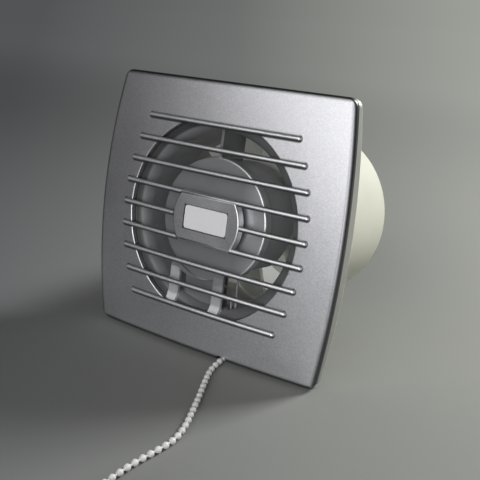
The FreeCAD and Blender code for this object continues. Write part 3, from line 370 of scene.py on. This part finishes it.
def fan_axes_group():
    """Place in the fan's own axes: across, along the shaft and up, and how far from the shaft."""
    tree, _, put = new_group("fan_axes", [], [("Vector", "Vector"), ("Radius", "Float")])
    own = add_node(tree, "ShaderNodeMapping", Vector=object_place(tree), Location=fan_shift,
                   Rotation=(fan_lean, 0.0, 0.0)).outputs[0]
    flat = add_node(tree, "ShaderNodeVectorMath", operation="MULTIPLY", Vector=own)
    flat.inputs[1].default_value = (1.0, 0.0, 1.0)
    size = add_node(tree, "ShaderNodeVectorMath", operation="LENGTH", Vector=flat.outputs[0])
    tree.links.new(own, put.inputs["Vector"])
    tree.links.new(size.outputs["Value"], put.inputs["Radius"])
    return tree


fan_axes = fan_axes_group()


def own_axes(tree):
    """The fan's own axes in a material: across, along, up, and the distance from the shaft."""
    own = add_group(tree, fan_axes)
    return (*split_axes(tree, own.outputs["Vector"]), own.outputs["Radius"])


def housing_material():
    """Ivory plastic, sprayed silver round the sides of the frame, with painted shade inside the
    duct.
    """
    material, shader = principled("ivory_plastic")
    tree = material.node_tree
    _, along, _, radius = own_axes(tree)
    skin = add_group(tree, moulded_skin, Color=ivory_colour, Roughness=ivory_roughness)
    sprayed = add_math(tree, "LESS_THAN", along, frame_side_back)
    # Painted shade: the bore of the duct is coloured a dark grey.
    in_duct_shade = add_math(tree, "LESS_THAN", radius, duct_painted_shade_radius)
    colour = add_mix(tree, in_duct_shade, skin.outputs["Color"], duct_painted_shade_colour)
    colour = add_mix(tree, sprayed, colour, frame_side_colour)
    wire_finish(tree, shader, skin, skin_relief, skin_depth, colour)
    tree.links.new(sprayed, shader.inputs["Metallic"])
    return material


dress(housing_material(), "housing")

# Cable grommet
# A ring of black rubber that closes the cable inlet of the back plate. It is moulded with a groove
# round it and pressed into the hole; the mains cable is pushed through its middle.
grommet_rubber = moulded("grommet_rubber", (0.035, 0.035, 0.037), roughness=0.7, cloud=0.3,
                         grain=1500.0, relief=0.3)
dress(grommet_rubber, "cable_grommet")

# Pull switch
# A white case with a lid, screwed to the back plate by two tabs; the plunger slides in it against
# a spring and closes two brass contacts. The guide is a smooth bush in the bottom wall.
spring_foot = Vector((0.0170, -0.05590, 0.00754))
spring_up = Vector((0.0, 0.215497, 0.976504))
spring_rise = 0.00734
spring_radius = 0.00135
spring_wire = 0.0002
spring_wire_sides = 8
spring_turns = 7
spring_steps_per_turn = 16
metal_line_scale = 300.0
metal_line_share = 0.25
metal_line_gloss = 0.25
metal_line_depth = 0.0001
tarnish_scale = 180.0
tarnish_gloss = 0.5
white_plastic = moulded("white_plastic", (0.70, 0.70, 0.68), roughness=0.35, cloud=0.05)
dress(white_plastic, "switch_body", "switch_lid", "pull_plunger", "chain_guide")


def drawn_metal_group():
    """Drawn or rolled metal: fine lines along one direction, and slight tarnish in patches."""
    tree, given, put = new_group(
        "drawn_metal",
        [("Color", "Color", (0.6, 0.6, 0.6, 1.0)), ("Roughness", "Float", 0.35),
         ("Lines", "Vector", (1.0, 1.0, 1.0)), ("Tarnish", "Float", 0.2)],
        finish_outputs)
    place = object_place(tree)
    stretch = add_node(tree, "ShaderNodeVectorMath", operation="MULTIPLY", Vector=place)
    tree.links.new(given.outputs["Lines"], stretch.inputs[1])
    lines = add_node(tree, "ShaderNodeTexNoise", Vector=stretch.outputs[0], Scale=metal_line_scale,
                     Detail=3.0)
    patch = add_node(tree, "ShaderNodeTexNoise", Vector=place, Scale=tarnish_scale, Detail=4.0)
    shift = add_math(tree, "SUBTRACT", lines.outputs["Fac"], 0.5)
    dull = add_math(tree, "MULTIPLY", patch.outputs["Fac"], given.outputs["Tarnish"])
    factor = add_math(tree, "MULTIPLY_ADD", shift, metal_line_share, 1.0)
    factor = add_math(tree, "SUBTRACT", factor, dull)
    gloss = add_math(tree, "MULTIPLY_ADD", shift, metal_line_gloss, given.outputs["Roughness"])
    gloss = add_math(tree, "MULTIPLY_ADD", dull, tarnish_gloss, gloss)
    colour = add_scaled(tree, given.outputs["Color"], factor)
    put_finish(tree, put, colour, gloss, lines.outputs["Fac"])
    return tree


drawn_metal = drawn_metal_group()


def metal(name, colour, roughness, lines=(8.0, 1.0, 8.0), tarnish=0.2, relief=0.1):
    """Material of a bare metal piece."""
    material, shader = principled(name)
    shader.inputs["Metallic"].default_value = 1.0
    skin = add_group(material.node_tree, drawn_metal, Color=colour, Roughness=roughness,
                     Lines=lines, Tarnish=tarnish)
    wire_finish(material.node_tree, shader, skin, relief, metal_line_depth)
    return material


def standing_at(place, heading):
    """Puts a shape's middle at a place and turns its own Z to a heading."""
    return Matrix.Translation(place) @ heading.to_track_quat("Z", "Y").to_matrix().to_4x4()


def wound_spring():
    """Spring round the plunger's stem: a ring of wire swept up along its turns."""
    bm = bmesh.new()
    side = Vector((1.0, 0.0, 0.0))
    bmesh.ops.create_circle(
        bm, segments=spring_wire_sides, radius=spring_wire,
        matrix=standing_at(spring_foot + side * spring_radius, spring_up.cross(side)))
    steps = spring_steps_per_turn * spring_turns
    bmesh.ops.spin(bm, geom=bm.verts[:] + bm.edges[:], cent=spring_foot, axis=spring_up,
                   dvec=spring_up * (spring_rise / steps), angle=2 * math.pi * spring_turns,
                   steps=steps)
    bmesh.ops.holes_fill(bm, edges=[edge for edge in bm.edges if edge.is_boundary])
    bmesh.ops.recalc_face_normals(bm, faces=bm.faces[:])
    return bm


spring_steel = metal("spring_steel", (0.62, 0.62, 0.63), roughness=0.30)
screw_steel = metal("screw_steel", (0.72, 0.72, 0.73), roughness=0.28, lines=(6.0, 6.0, 1.0),
                    tarnish=0.25)
contact_brass = metal("contact_brass", (0.72, 0.53, 0.24), roughness=0.32, lines=(1.0, 8.0, 8.0),
                      tarnish=0.3)
plunger_spring = object_from(wound_spring(), "plunger_spring")
plunger_spring.data.materials.append(spring_steel)
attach(plunger_spring, "fan_body")
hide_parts("return_spring")
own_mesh(plunger_spring)
dress(contact_brass, "switch_contacts")
dress(screw_steel, "switch_screws")

# Leads
# Three short wires between terminal block, switch and motor: stranded copper in a grey sleeve of
# soft plastic. They lie along the ring and are held by the screws of the terminals.
lead_sleeve = moulded("grey_lead", (0.30, 0.302, 0.31), roughness=0.42, cloud=0.12, grain=1800.0,
                      relief=0.08)
dress(lead_sleeve, "supply_lead", "switch_lead", "return_lead")

# Motor
# A small shaded pole motor: stacked steel sheets with a winding on a bobbin, copper rings in the
# pole tips, a cast rotor on a steel shaft, and two bearing bridges held by long screws.
sheet_thickness = 0.0005
sheet_depth = 0.0001
winding_pitch = 0.0004
winding_depth = 0.0002
layer_dark = 0.6
layer_gain = 0.45
layer_relief = 0.5
layer_at_scale_one = math.pi / 10.0


def layered(name, colour, roughness, direction, pitch, metallic, depth):
    """Material of stacked sheets or turns of wire: lines at one pitch along one direction."""
    material, shader = principled(name)
    tree = material.node_tree
    shader.inputs["Metallic"].default_value = metallic
    own = add_group(tree, fan_axes)
    wave = add_node(tree, "ShaderNodeTexWave", wave_type="BANDS", bands_direction=direction,
                    Vector=own.outputs["Vector"], Scale=layer_at_scale_one / pitch, Distortion=0.4,
                    Detail=1.0)
    skin = add_group(tree, drawn_metal, Color=colour, Roughness=roughness, Lines=(3.0, 3.0, 3.0),
                     Tarnish=0.25)
    factor = add_math(tree, "MULTIPLY_ADD", wave.outputs["Fac"], layer_gain, layer_dark)
    bump = add_node(tree, "ShaderNodeBump", Strength=layer_relief, Distance=depth,
                    Height=wave.outputs["Fac"])
    colour_lines = add_scaled(tree, skin.outputs["Color"], factor)
    tree.links.new(colour_lines, shader.inputs["Base Color"])
    tree.links.new(skin.outputs["Roughness"], shader.inputs["Roughness"])
    tree.links.new(bump.outputs["Normal"], shader.inputs["Normal"])
    return material


core_steel = layered("core_steel", (0.36, 0.36, 0.37), roughness=0.5, direction="Y",
                     pitch=sheet_thickness, metallic=0.8, depth=sheet_depth)
rotor_metal = layered("rotor_metal", (0.48, 0.48, 0.49), roughness=0.42, direction="Y",
                      pitch=sheet_thickness, metallic=0.9, depth=sheet_depth)
winding_copper = layered("winding_copper", (0.46, 0.19, 0.07), roughness=0.35, direction="X",
                         pitch=winding_pitch, metallic=0.6, depth=winding_depth)
bridge_metal = metal("bridge_metal", (0.56, 0.56, 0.55), roughness=0.45, lines=(2.0, 2.0, 2.0),
                     tarnish=0.3, relief=0.2)
bush_bronze = metal("bush_bronze", (0.52, 0.36, 0.20), roughness=0.55, lines=(4.0, 4.0, 4.0),
                    tarnish=0.35, relief=0.3)
dress(core_steel, "stator_core")
dress(winding_copper, "stator_coil")
dress(moulded("bobbin_plastic", (0.50, 0.49, 0.44), roughness=0.5), "coil_bobbin")
dress(metal("ring_copper", (0.72, 0.38, 0.24), roughness=0.3), "shading_rings")
dress(rotor_metal, "rotor_core")
dress(metal("shaft_steel", (0.66, 0.66, 0.67), roughness=0.22, tarnish=0.1), "motor_shaft")
dress(bridge_metal, "front_bridge", "rear_bridge")
dress(bush_bronze, "front_bearing", "rear_bearing")
dress(screw_steel, "motor_screws")

# Motor bracket and cup
# The grey moulded ring with its rounded mouth, the disc on a rib and two legs that covers the
# motor, and the cup that closes the motor from behind. Four screws hold the ring to the back plate.
# The grey of the ring, disc and legs carries painted shade and painted light.
bracket_colour = (0.34, 0.343, 0.353)
bracket_roughness = 0.40
bracket_cloud = 0.12
bracket_shine = 0.7
mouth_front = -0.006
mouth_back = 0.002
mouth_front_painted_shade = 0.60
mouth_wall_painted_shade = 0.85
ring_start = 0.0365
ring_left = -0.02
ring_right = 0.025
ring_right_painted_shade = 0.40
ring_rim_start = 0.0480
ring_rim_end = 0.0490
ring_rim_left = -0.010
ring_rim_right = 0.020
ring_rim_left_painted_shade = 0.22
ring_rim_right_painted_shade = 0.85
disc_end = 0.0335
disc_left = 0.016
disc_right = 0.026
disc_right_painted_light = 1.5
disc_edge = 0.0320
disc_edge_line = 0.0005
disc_edge_left = -0.012
disc_edge_right = 0.006
disc_edge_left_painted_shadow = 0.5
disc_edge_right_painted_highlight = 2.0
leg_places = (-0.0203, 0.00815)
leg_half_width = 0.0032
leg_top = -0.029
leg_back = -0.0057
leg_painted_light = 1.25
foot_top = -0.0432
foot_bottom = -0.0446
foot_painted_light = 2.2


def pick(tree, mask, plain, marked):
    """Number that is plain where the mask is 0 and marked where it is 1."""
    node = add_node(tree, "ShaderNodeMix", Factor=mask)
    for socket, value in zip(node.inputs[2:4], (plain, marked)):
        feed(tree, socket, value)
    return node.outputs[0]


def bracket_material():
    """Grey plastic with painted shade and painted light on the ring, the rim, the disc, its edge
    and the legs.
    """
    material, shader = principled("grey_plastic")
    tree = material.node_tree
    across, along, up, radius = own_axes(tree)
    # Painted shade on the ring: darker at the front of the mouth than on its wall, darker on the
    # right.
    mouth = add_range(tree, along, mouth_front, mouth_back, mouth_front_painted_shade, mouth_wall_painted_shade)
    ring = add_range(tree, across, ring_left, ring_right, mouth, ring_right_painted_shade)
    # Painted light on the right of the disc.
    disc = add_range(tree, across, disc_left, disc_right, 1.0, disc_right_painted_light)
    share = add_range(tree, radius, disc_end, ring_start, disc, ring)
    # Painted shade in a band just inside the rim of the ring, deepest on the left.
    rim = add_range(tree, across, ring_rim_left, ring_rim_right, ring_rim_left_painted_shade,
                    ring_rim_right_painted_shade)
    rim = add_range(tree, radius, ring_rim_start, ring_rim_end, 1.0, rim)
    share = add_math(tree, "MULTIPLY", share, rim)
    # A painted shadow line along the left of the disc's edge and a painted highlight along its
    # right.
    edge = add_range(tree, across, disc_edge_left, disc_edge_right, disc_edge_left_painted_shadow,
                     disc_edge_right_painted_highlight)
    at_edge = add_math(tree, "COMPARE", radius, disc_edge, disc_edge_line)
    share = pick(tree, at_edge, share, add_math(tree, "MULTIPLY", share, edge))
    # Painted light on the legs and, stronger, on the feet.
    low = add_math(tree, "MULTIPLY", add_math(tree, "LESS_THAN", up, leg_top),
                   add_math(tree, "LESS_THAN", along, leg_back))
    leg_painted_light_tone = add_range(tree, up, foot_top, foot_bottom, leg_painted_light, foot_painted_light)
    for leg in leg_places:
        beside = add_math(tree, "COMPARE", across, leg, leg_half_width)
        share = pick(tree, add_math(tree, "MULTIPLY", beside, low), share, leg_painted_light_tone)
    skin = add_group(tree, moulded_skin, Color=bracket_colour, Roughness=bracket_roughness,
                     Cloud=bracket_cloud)
    colour = add_scaled(tree, skin.outputs["Color"], share)
    wire_finish(tree, shader, skin, skin_relief, skin_depth, colour)
    shine = add_range(tree, radius, disc_end, ring_start, bracket_shine, 0.0)
    tree.links.new(shine, shader.inputs["Metallic"])
    return material


dress(bracket_material(), "motor_bracket")
dress(moulded("cup_plastic", (0.50, 0.503, 0.515), roughness=0.45), "motor_cup")
dress(screw_steel, "bracket_screws")

# Terminal block
# A block of dark grey plastic with two steel screws on the bracket's shelf, and the grey plate
# that snaps over it between the two legs.
dress(moulded("terminal_plastic", (0.12, 0.12, 0.125), roughness=0.4), "terminal_block")
dress(screw_steel, "terminal_screws")
dress(moulded("cover_plate_plastic", (0.17, 0.172, 0.178), roughness=0.42), "terminal_cover")

# Impeller
# A wheel with twisted blades round a hub, moulded in one piece of pale plastic. It is pushed on
# the motor shaft, and a spring ring grips its boss there.
dress(moulded("impeller_plastic", (0.88, 0.89, 0.83), roughness=0.45), "impeller")
dress(spring_steel, "impeller_clip")

# Front cover
# The domed cover with its nine bars and centre boss, moulded in ABS and sprayed with silver paint.
# The paint is full of fine metal flakes, so it shines like satin metal with a slight sparkle.
# Painted shade and painted highlights lie in the paint round the bars, rim, boss and plate.
silver_colour = (0.80, 0.80, 0.835)
silver_roughness = 0.39
silver_sparkle = 0.22
silver_relief = 0.05
flake_scale = 2600.0
flake_gloss = 0.06
flake_depth = 0.00002
coat_cloud = 0.06
coat_cloud_scale = 60.0
coat_cloud_gloss = 0.05
bar_pitch = 0.012
bar_radius = 0.0014
bar_metal = 0.85
bar_crest = 0.0004
bar_crest_painted_highlight = 1.22
bar_side = 0.8 * bar_radius
bar_side_painted_shade = 0.2
last_bar = 0.048
bar_reach = 0.0566
bar_end_arc = 0.1085
crevice_start = 0.75 * bar_radius
crevice_width = 0.0009
crevice_painted_shade_above = 0.45
crevice_painted_shade_below = 0.88
bar_tip_painted_shadow = 0.92
boss_edge = 0.02075
boss_half_height = 0.012
boss_line = 0.0005
boss_line_left = -0.012
boss_line_right = 0.008
boss_left_painted_shadow = 0.4
boss_face_left = 0.006
boss_face_right = 0.016
boss_face_painted_shade = 0.75
panel_half_height = 0.070
panel_half_width = 0.076
panel_bow = 0.8227
rim_start = 0.0028
rim_end = 0.0005
rim_painted_shade = 0.15
recess_half_width = 0.01375
recess_half_height = 0.0064
recess_line = 0.0003
recess_painted_shadow = 0.4


def metal_flake_group():
    """Silver paint: tiny flakes that each turn the light a little, in a slightly cloudy coat."""
    tree, given, put = new_group(
        "metal_flake",
        [("Color", "Color", (0.8, 0.8, 0.8, 1.0)), ("Roughness", "Float", 0.4),
         ("Flake Scale", "Float", flake_scale), ("Sparkle", "Float", 0.2)],
        finish_outputs)
    place = object_place(tree)
    flake = add_node(tree, "ShaderNodeTexVoronoi", feature="F1", Vector=place,
                     Scale=given.outputs["Flake Scale"])
    cloud = add_node(tree, "ShaderNodeTexNoise", Vector=place, Scale=coat_cloud_scale, Detail=3.0)
    tint = add_node(tree, "ShaderNodeSeparateColor", Color=flake.outputs["Color"]).outputs
    spark = add_math(tree, "SUBTRACT", tint["Red"], 0.5)
    shift = add_math(tree, "SUBTRACT", cloud.outputs["Fac"], 0.5)
    factor = add_math(tree, "MULTIPLY_ADD", spark, given.outputs["Sparkle"], 1.0)
    factor = add_math(tree, "MULTIPLY_ADD", shift, coat_cloud, factor)
    gloss = add_math(tree, "MULTIPLY_ADD", shift, coat_cloud_gloss, given.outputs["Roughness"])
    gloss = add_math(tree, "MULTIPLY_ADD", spark, flake_gloss, gloss)
    colour = add_scaled(tree, given.outputs["Color"], factor)
    put_finish(tree, put, colour, gloss, tint["Green"])
    return tree


metal_flake = metal_flake_group()


def bar_shade(tree, across, up, radius):
    """Painted shade beside, under and past the tips of the bars, a painted highlight on each bar's
    crest, and the mask of the bars.
    """
    off = add_math(tree, "WRAP", up, bar_pitch / 2, -bar_pitch / 2)
    level = add_math(tree, "SUBTRACT", up, off)
    drop = add_math(tree, "SUBTRACT", bar_end_arc ** 2, add_math(tree, "MULTIPLY", level, level))
    reach = add_math(tree, "ADD", add_math(tree, "SQRT", drop), bar_reach - bar_end_arc)
    past = add_math(tree, "SUBTRACT", add_math(tree, "ABSOLUTE", across), reach)
    past = add_math(tree, "MAXIMUM", past, 0.0)
    away = add_math(tree, "MULTIPLY_ADD", past, past, add_math(tree, "MULTIPLY", off, off))
    away = add_math(tree, "SQRT", away)
    on_grille = add_math(tree, "LESS_THAN", add_math(tree, "ABSOLUTE", level),
                         last_bar + bar_radius)
    off_boss = add_math(tree, "GREATER_THAN", radius, boss_edge)
    free = add_math(tree, "MULTIPLY", on_grille, off_boss)
    # Painted shade in a narrow band round each bar, stronger under the bar and past its tips.
    rise = add_range(tree, away, crevice_start, bar_radius, smooth=True)
    fall = add_range(tree, away, bar_radius, bar_radius + crevice_width, 1.0, 0.0, smooth=True)
    line = add_math(tree, "MULTIPLY", rise, fall)
    side = add_range(tree, off, -bar_radius, bar_radius, crevice_painted_shade_below, crevice_painted_shade_above)
    tip = add_math(tree, "MULTIPLY", add_math(tree, "GREATER_THAN", past, 0.0), bar_tip_painted_shadow)
    depth = add_math(tree, "MULTIPLY", line, free)
    depth = add_math(tree, "MULTIPLY", depth, add_math(tree, "MAXIMUM", side, tip))
    on_bar = add_math(tree, "MULTIPLY", add_math(tree, "LESS_THAN", away, bar_radius), free)
    # Painted highlight along the crest of each bar, with painted shade on its sides.
    off_crest = add_math(tree, "ABSOLUTE", add_math(tree, "SUBTRACT", off, bar_crest))
    crest_painted_highlight = add_range(tree, off_crest, bar_crest / 2, bar_side, bar_crest_painted_highlight, bar_side_painted_shade,
                     smooth=True)
    return pick(tree, on_bar, add_math(tree, "SUBTRACT", 1.0, depth), crest_painted_highlight), on_bar


def edge_shade(tree, across, up, radius):
    """Painted shade on the rim and the boss's right, and painted shadow lines round the plate and
    the boss's left.
    """
    out = add_math(tree, "ABSOLUTE", across)
    rise = add_math(tree, "ABSOLUTE", up)
    bow = add_math(tree, "DIVIDE", add_math(tree, "MULTIPLY", rise, rise), panel_bow)
    side = add_math(tree, "SUBTRACT", add_math(tree, "SUBTRACT", panel_half_width, bow), out)
    inside = add_math(tree, "MINIMUM", side, add_math(tree, "SUBTRACT", panel_half_height, rise))
    # Painted shade along the rim of the cover.
    rim = add_range(tree, inside, rim_end, rim_start, rim_painted_shade, smooth=True)
    past = add_math(tree, "MAXIMUM", add_math(tree, "SUBTRACT", out, recess_half_width),
                    add_math(tree, "SUBTRACT", rise, recess_half_height))
    # A painted shadow line round the edge of the plate.
    recess = add_range(tree, past, 0.0, recess_line, recess_painted_shadow)
    off = add_math(tree, "MAXIMUM", add_math(tree, "SUBTRACT", radius, boss_edge),
                   add_math(tree, "SUBTRACT", rise, boss_half_height))
    # A painted shadow line along the left edge of the boss.
    line = add_math(tree, "COMPARE", off, 0.0, boss_line)
    line_tone = add_range(tree, across, boss_line_left, boss_line_right, boss_left_painted_shadow)
    on_boss = add_math(tree, "LESS_THAN", off, -boss_line)
    # Painted shade on the right of the boss's face.
    face_tone = add_range(tree, across, boss_face_left, boss_face_right, 1.0, boss_face_painted_shade)
    boss = pick(tree, line, pick(tree, on_boss, 1.0, face_tone), line_tone)
    return add_math(tree, "MULTIPLY", add_math(tree, "MULTIPLY", rim, recess), boss)


def silver_material():
    """Silver paint with painted shade by the bars, on the rim, round the boss and the plate, and a
    painted highlight on the bars.
    """
    material, shader = principled("silver_paint")
    tree = material.node_tree
    across, _, up, radius = own_axes(tree)
    paint = add_group(tree, metal_flake, Color=silver_colour, Roughness=silver_roughness,
                      Flake_Scale=flake_scale, Sparkle=silver_sparkle)
    bars, on_bar = bar_shade(tree, across, up, radius)
    kept = add_math(tree, "MULTIPLY", bars, edge_shade(tree, across, up, radius))
    colour = add_scaled(tree, paint.outputs["Color"], kept)
    wire_finish(tree, shader, paint, silver_relief, flake_depth, colour)
    tree.links.new(pick(tree, on_bar, 1.0, bar_metal), shader.inputs["Metallic"])
    return material


dress(silver_material(), "front_cover")

# Name plate
# A thin plate of lacquered metal in the recess of the boss, stamped from sheet and glued in. Its
# face is plain.
plate_metal = moulded("plate_metal", (0.84, 0.835, 0.86), roughness=0.35, cloud=0.06, grain=3000.0,
                      relief=0.05)
dress(plate_metal, "name_plate")

# Cover screw
# A small bright steel screw in the middle of the bottom edge, rolled and plated. It holds the
# cover to the frame.
dress(screw_steel, "cover_screw")

# Bead chain
# White plastic beads on a thin cord: it leaves the bottom edge, lies on the table and ends in a
# small coil of two layers, put away beside the fan.
chain_height = 0.0017
chain_start = (0.017, -0.0586)
chain_run = [
    (0.0174, -0.0655), (0.0189, -0.0740), (0.0229, -0.0830), (0.0289, -0.0950), (0.0346, -0.1075),
    (0.0400, -0.1195), (0.0426, -0.1300), (0.0412, -0.1405), (0.0392, -0.1520), (0.0386, -0.1635),
    (0.0382, -0.1748), (0.0382, -0.1857),
]
chain_smoothness = 24
coil_centre = (0.060, -0.189)
coil_radius = 0.0218
coil_pitch = 0.0038
coil_turns = 3.5
coil_points_per_turn = 24
coil_end_run = 0.0033
bead_radius = 0.00165
bead_pitch = 0.0042
bead_segments = 10
bead_rings = 6
link_radius = 0.0006
link_sides = 6


def coil_point(turns):
    """Point on the put-away coil: in for half of the turns, up one layer, then out again."""
    middle = coil_turns / 2
    radius = coil_radius - coil_pitch * (middle - abs(turns - middle))
    climb = max(0.0, min(1.0, 2 * (turns - middle) + 0.5))
    angle = 2 * math.pi * turns
    return (coil_centre[0] - radius * math.cos(angle), coil_centre[1] - radius * math.sin(angle),
            chain_height + coil_pitch * (1 - math.cos(math.pi * climb)) / 2)


def chain_line():
    """Smooth line of the chain: control points of one spline, read back as close points."""
    points = [(x, y, chain_height) for x, y in [chain_start] + chain_run]
    count = int(coil_turns * coil_points_per_turn)
    points += [coil_point(number / coil_points_per_turn) for number in range(count + 1)]
    last = points[-1]
    points.append((last[0], last[1] + coil_end_run, last[2]))
    curve = bpy.data.curves.new("chain_route", "CURVE")
    curve.dimensions = "3D"
    curve.resolution_u = chain_smoothness
    spline = curve.splines.new("NURBS")
    spline.points.add(len(points) - 1)
    for place, point in zip(points, spline.points):
        point.co = (*place, 1.0)
    spline.order_u = 3
    spline.use_endpoint_u = True
    holder = link(bpy.data.objects.new("chain_route", curve))
    bpy.context.view_layer.update()
    mesh = bpy.data.meshes.new_from_object(holder)
    line = [v.co.copy() for v in mesh.vertices]
    bpy.data.objects.remove(holder)
    bpy.data.curves.remove(curve)
    bpy.data.meshes.remove(mesh)
    return line


def along_line(line, distances):
    """Places and headings at the given distances along a line of points."""
    found = []
    travelled = 0.0
    number = 0
    for distance in distances:
        step = line[number + 1] - line[number]
        while number < len(line) - 2 and travelled + step.length < distance:
            travelled += step.length
            number += 1
            step = line[number + 1] - line[number]
        found.append((line[number] + step.normalized() * (distance - travelled), step.normalized()))
    return found


def strung_beads(line, length):
    """Beads at one pitch along a line, with a short piece of cord between each two."""
    bm = bmesh.new()
    count = int((length - 2 * bead_radius) / bead_pitch) + 1
    beads = along_line(line, [bead_radius + number * bead_pitch for number in range(count)])
    for place, heading in beads:
        bmesh.ops.create_uvsphere(bm, u_segments=bead_segments, v_segments=bead_rings,
                                  radius=bead_radius, matrix=standing_at(place, heading))
    for (start, _), (end, _) in zip(beads, beads[1:]):
        bmesh.ops.create_cone(bm, cap_ends=False, segments=link_sides, radius1=link_radius,
                              radius2=link_radius, depth=(end - start).length,
                              matrix=standing_at((start + end) / 2, end - start))
    return bm


chain_path = chain_line()
chain_length = sum((b - a).length for a, b in zip(chain_path, chain_path[1:]))
bead_chain = object_from(strung_beads(chain_path, chain_length), "bead_chain")
bead_plastic = moulded("bead_plastic", (0.78, 0.785, 0.775), roughness=0.3, cloud=0.10,
                       grain=2600.0, relief=0.05)
bead_chain.data.materials.append(bead_plastic)
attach(bead_chain, "chain")
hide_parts("pull_chain", "chain_coil")

# Chain toggle
# The small bell-shaped pull at the end of the chain, moulded in the same white plastic. It gives
# the fingers something to hold.
dress(bead_plastic, "chain_toggle")
